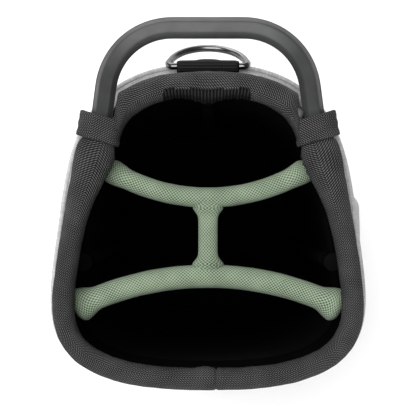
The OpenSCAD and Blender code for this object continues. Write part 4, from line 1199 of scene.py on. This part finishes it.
def zip_of(name, face):
    """A zip's woven tape and its moulded coil, and the softened slider and pull that ride it."""
    low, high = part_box(name + "_zip")
    mid = (low + high) / 2
    level = face == 0
    half = ((high.x - low.x) if level else (high.z - low.z)) / 2
    tape_w = 26 * MM
    out = low.y if face == 0 else low.x if face == 1 else high.x
    way = {0: Vector((0, -1, 0)), 1: Vector((-1, 0, 0)), 2: Vector((1, 0, 0))}[face]
    along = Vector((1, 0, 0)) if level else Vector((0, 0, 1))
    across = way.cross(along)
    coil_h = 1.8 * MM
    if face == 0:
        mid.y = out + coil_h + 0.2 * MM
    else:
        mid.x = out - way.x * (coil_h + 0.2 * MM)
    s = np.linspace(-half, half, 120)
    section = [(-1, -0.5), (-0.98, 0.0), (-0.9, 0.05), (-0.22, 0.1), (-0.2, 0.5), (0.2, 0.5), (0.22, 0.1)]
    section += [(0.9, 0.05), (0.98, 0.0), (1, -0.5)]
    rows = []
    for v in s:
        curl = 0.25 * MM * noise.noise(Vector((v * 40, face, 0)))
        row = []
        for c, h in section:
            p = mid + along * float(v) + across * (c * tape_w / 2) + way * (h * MM + curl * abs(c))
            row.append(tuple(p))
        rows.append(row)
    tape = grid(name + "_zip_tape", rows, ZIP)
    modifier(tape, "SOLIDIFY", thickness=0.5 * MM, offset=0)
    dress(tape, replaces=[name + "_zip"])
    # Two rows of teeth, each tooth a rounded hook that reaches past the middle
    verts, faces = [], []
    pitch = 2.0 * MM
    count = int((2 * half - 10 * MM) / pitch)
    sides = 8
    for k in range(count):
        for row in (-1, 1):
            v = -half + 5 * MM + (k + (0.5 if row > 0 else 0)) * pitch
            base = len(verts)
            for reach, size in TOOTH:
                for j in range(sides):
                    t = 2 * math.pi * j / sides
                    p = mid + along * (v + 0.42 * MM * size * math.cos(t)) + across * (row * reach * MM)
                    p = p + way * (0.95 * MM + 0.85 * MM * size * math.sin(t))
                    verts.append(tuple(p))
            for i in range(len(TOOTH) - 1):
                for j in range(sides):
                    q, r = base + i * sides, base + (i + 1) * sides
                    faces.append((q + j, r + j, r + (j + 1) % sides, q + (j + 1) % sides))
    dress(make(name + "_zip_teeth", verts, faces, COIL))
    for edge, sign in (("a", -1), ("b", 1)):
        start = mid + across * (sign * (tape_w / 2 - 4 * MM)) + way * (0.55 * MM)
        line = [start + along * float(v) for v in s]
        stitches(f"{name}_zip_stitches_{edge}", [tuple(p) for p in line], mat=DARK_THREAD)
    softened(name + "_slider", GUNMETAL, 0.5 * MM)
    softened(name + "_pull", PULL, 0.45 * MM)


def softened(node, mat, width):
    """A copy of a CAD node with its sharp edges rounded, which stands for the node."""
    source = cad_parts[node]
    obj = bpy.data.objects.new(node + "_rounded", source.data.copy())
    bpy.context.scene.collection.objects.link(obj)
    obj.data.materials.clear()
    obj.data.materials.append(mat)
    modifier(obj, "WELD", merge_threshold=0.01 * MM)
    limit = math.radians(35)
    modifier(obj, "BEVEL", width=width, segments=3, limit_method="ANGLE", angle_limit=limit)
    modifier(obj, "WEIGHTED_NORMAL")
    obj.data.polygons.foreach_set("use_smooth", [True] * len(obj.data.polygons))
    return dress(obj, node, [node])


POCKETS = {  # node: piece, face, plan radius, bulge
    "ball": (0, 28 * MM, 4.5 * MM),
    "accessory": (0, 22 * MM, 3 * MM),
    "valuables": (0, 18 * MM, 2.5 * MM),
    "left": (1, 20 * MM, 4 * MM),
    "right": (2, 20 * MM, 4 * MM),
}


def pockets():
    for k, (name, (face, r, bulge)) in enumerate(POCKETS.items()):
        low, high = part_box(name + "_zip")
        if face == 0:
            at = ("level", (low.z + high.z) / 2)
        else:
            y = (low.y + high.y) / 2
            at = ("upright", -y if face == 1 else y)
        pocket(name + "_pouch", name + "_pocket", face, r, bulge, at, seed=3.7 * k)
        zip_of(name, face)
    pocket("slip_pouch", "slip_pocket", 2, 18 * MM, 1.5 * MM, open_top=True, seed=21.0)


# ---------------------------------------------------------------- spine side


def grab_handle():
    low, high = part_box("grab_strap")
    mid_z, reach = (low.z + high.z) / 2, (high.z - low.z) / 2
    thick = 2.4 * MM
    bow = high.y - low.y - thick
    half, grip_half = reach - 22 * MM, 32 * MM
    u = np.linspace(-reach, reach, 90)
    out = low.y + thick / 2 + bow * ease((half - np.abs(u)) / (half - grip_half - 3 * MM))
    profile = [(y, mid_z + v) for y, v in zip(out, u)]
    obj = strap("grab_webbing", profile, 30 * MM, thick, WEBBING)
    dress(obj, replaces=["grab_strap"])
    # A moulded rubber grip with rings of shallow ribs
    rows = []
    top = high.y - thick / 2
    for v in np.linspace(-1, 1, 90):
        end = ease((1 - abs(v)) / 0.08)
        rib = 0.6 * MM * (0.5 + 0.5 * math.cos(v * 2 * math.pi * 9)) * ease((0.82 - abs(v)) / 0.1)
        grow = 0.55 + 0.45 * math.sqrt(end)
        t = np.radians(np.arange(40) * 9)
        x = (19 * MM * grow - rib) * np.sign(np.cos(t)) * np.abs(np.cos(t)) ** 0.8
        y = (8.2 * MM * grow - rib) * np.sign(np.sin(t)) * np.abs(np.sin(t)) ** 0.8
        rows.append(np.column_stack([x, top + y, np.full(40, mid_z + v * grip_half)]))
    grip = grid("grab_grip_rubber", rows, RUBBER, around=True, caps=True)
    dress(grip, replaces=["grab_grip"])
    for name, sign in (("grab_stitches_low", -1), ("grab_stitches_high", 1)):
        z0, z1 = mid_z + sign * (reach - 19 * MM), mid_z + sign * (reach - 3 * MM)
        box_stitch(name, min(z0, z1), max(z0, z1), low.y + thick + 0.1 * MM, 12 * MM)


def glove_patch():
    low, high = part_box("glove_patch")
    angles = even_angles(165, 195, 1.5 * MM)
    z = np.linspace(low.z, high.z, 50)
    rows = []
    for v in z:
        row = []
        for k, a in enumerate(angles):
            end = min(k, len(angles) - 1 - k) * 1.5 * MM
            up = min(v - low.z, high.z - v)
            lift = 1.3 * MM * ease(min(end, up) / (3 * MM)) + 0.1 * MM
            p = cuff(a, BODY_OUT + lift)
            row.append((p[0], p[1], v))
        rows.append(row)
    obj = grid("glove_patch_nap", rows, NAP)
    modifier(obj, "SOLIDIFY", thickness=0.6 * MM, offset=0)
    dress(obj, replaces=["glove_patch"])
    inset = 4 * MM
    a0, a1 = angles[3], angles[-4]
    side_z = np.linspace(low.z + inset, high.z - inset, 30)
    level = even_angles(a0, a1, 2 * MM)
    path = [(*cuff(a, BODY_OUT + 1.9 * MM), low.z + inset) for a in level]
    path += [(*cuff(a1, BODY_OUT + 1.9 * MM), v) for v in side_z]
    path += [(*cuff(a, BODY_OUT + 1.9 * MM), high.z - inset) for a in level[::-1]]
    path += [(*cuff(a0, BODY_OUT + 1.9 * MM), v) for v in side_z[::-1]]
    stitches("glove_patch_stitches", path)


def snap():
    """The small press stud on the collar's inside."""
    t = np.radians(np.arange(28) * 360 / 28)
    x, y, base_z = 101 * MM, -77.5 * MM, RIM_TOP - 42 * MM
    profile = [(0.0, 0), (2.1, 0), (2.3, 0.3), (2.2, 0.6), (1.7, 0.8), (1.3, 0.6), (1.1, 0.8), (0.6, 1.1)]
    profile += [(0.0, 1.2)]  # radius and height in mm
    rows = []
    for r, z in profile:
        level = np.full(len(t), base_z + z * MM)
        rows.append(np.column_stack([x + r * MM * np.cos(t), y + r * MM * np.sin(t), level]))
    dress(grid("press_stud", rows, GUNMETAL, around=True))


# ---------------------------------------------------------------- CAD nodes that stay

CAD_FINISH = {
    "collar_frame": FRAME,
    "divider_frame": FRAME,
    "divider_rivets": GUNMETAL,
    "handle_screws": STEEL,
    "stay_left": TUBE,
    "stay_right": TUBE,
    "stay_spine": TUBE,
    "base_feet": RUBBER,
    "grab_rivets": GUNMETAL,
}


def cad_finish():
    for node, mat in CAD_FINISH.items():
        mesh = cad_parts[node].data
        if not mesh.materials:
            mesh.materials.append(mat)
        for k in range(len(mesh.materials)):
            mesh.materials[k] = mat


# ---------------------------------------------------------------- studio


def studio():
    f = Finish("floor_white", rough=0.9, specular=0.1)
    f.colour(f.ramp(f.noise(3), grey(0.90), grey(0.93)))
    size = 4.0
    rows = [[(x, y, -0.2 * MM) for x in np.linspace(-size, size, 5)] for y in np.linspace(-size, size, 5)]
    grid("floor", rows, f.mat, flip=True)
    scene = bpy.context.scene
    scene.view_settings.view_transform = "Standard"
    world = bpy.data.worlds.new("studio")
    scene.world = world
    world.use_nodes = True
    back = world.node_tree.nodes["Background"]
    back.inputs["Color"].default_value = (1, 1, 1, 1)
    rays = world.node_tree.nodes.new("ShaderNodeLightPath")
    # The ground and sky look paler than the light they give
    bright = world.node_tree.nodes.new("ShaderNodeMapRange")
    bright.inputs["To Min"].default_value = 0.16
    bright.inputs["To Max"].default_value = 0.9
    world.node_tree.links.new(rays.outputs["Is Camera Ray"], bright.inputs["Value"])
    world.node_tree.links.new(bright.outputs[0], back.inputs["Strength"])
    sun = bpy.data.lights.new("overhead", "SUN")
    sun.energy = 3.6
    sun.angle = math.radians(50)
    lamp = bpy.data.objects.new("overhead", sun)
    scene.collection.objects.link(lamp)
    lamp.rotation_euler = (math.radians(-8), math.radians(-10), 0)
    for name, place, size, power in (
        ("front", (0.5, -2.4, 0.9), 1.6, 26),
        ("back", (-0.6, 2.4, 0.9), 1.6, 26),
        ("left", (-2.4, 0.2, 0.9), 1.6, 12),
    ):
        light = bpy.data.lights.new(name, "AREA")
        light.size = size
        light.energy = power
        obj = bpy.data.objects.new(name, light)
        scene.collection.objects.link(obj)
        obj.location = place
        aim = Vector((0, 0, 0.4)) - Vector(place)
        obj.rotation_euler = aim.to_track_quat("-Z", "Y").to_euler()


def camera():
    distance = 1.25
    seen = 0.308
    cam = bpy.data.cameras.new("camera")
    cam.sensor_width = 36
    cam.lens = 36 * distance / seen
    cam.clip_end = 20
    obj = bpy.data.objects.new("camera", cam)
    bpy.context.scene.collection.objects.link(obj)
    obj.location = (0, 17 * MM, RIM_TOP + distance)
    bpy.context.scene.camera = obj


camera()
studio()
cad_finish()
rim()
for side in (-1, 1):
    wrap(side)
root_tab(-1, -69.5 * MM, 80 * MM, 20, 5 * MM, 9 * MM, PLASTIC)
root_tab(1, 66 * MM, 86 * MM, -25, 9 * MM, 11 * MM, HANDLE)
carry_handle()
dividers()
rings()
collar_band()
body()
lining()
well_sheets()
base()
pockets()
grab_handle()
glove_patch()
snap()
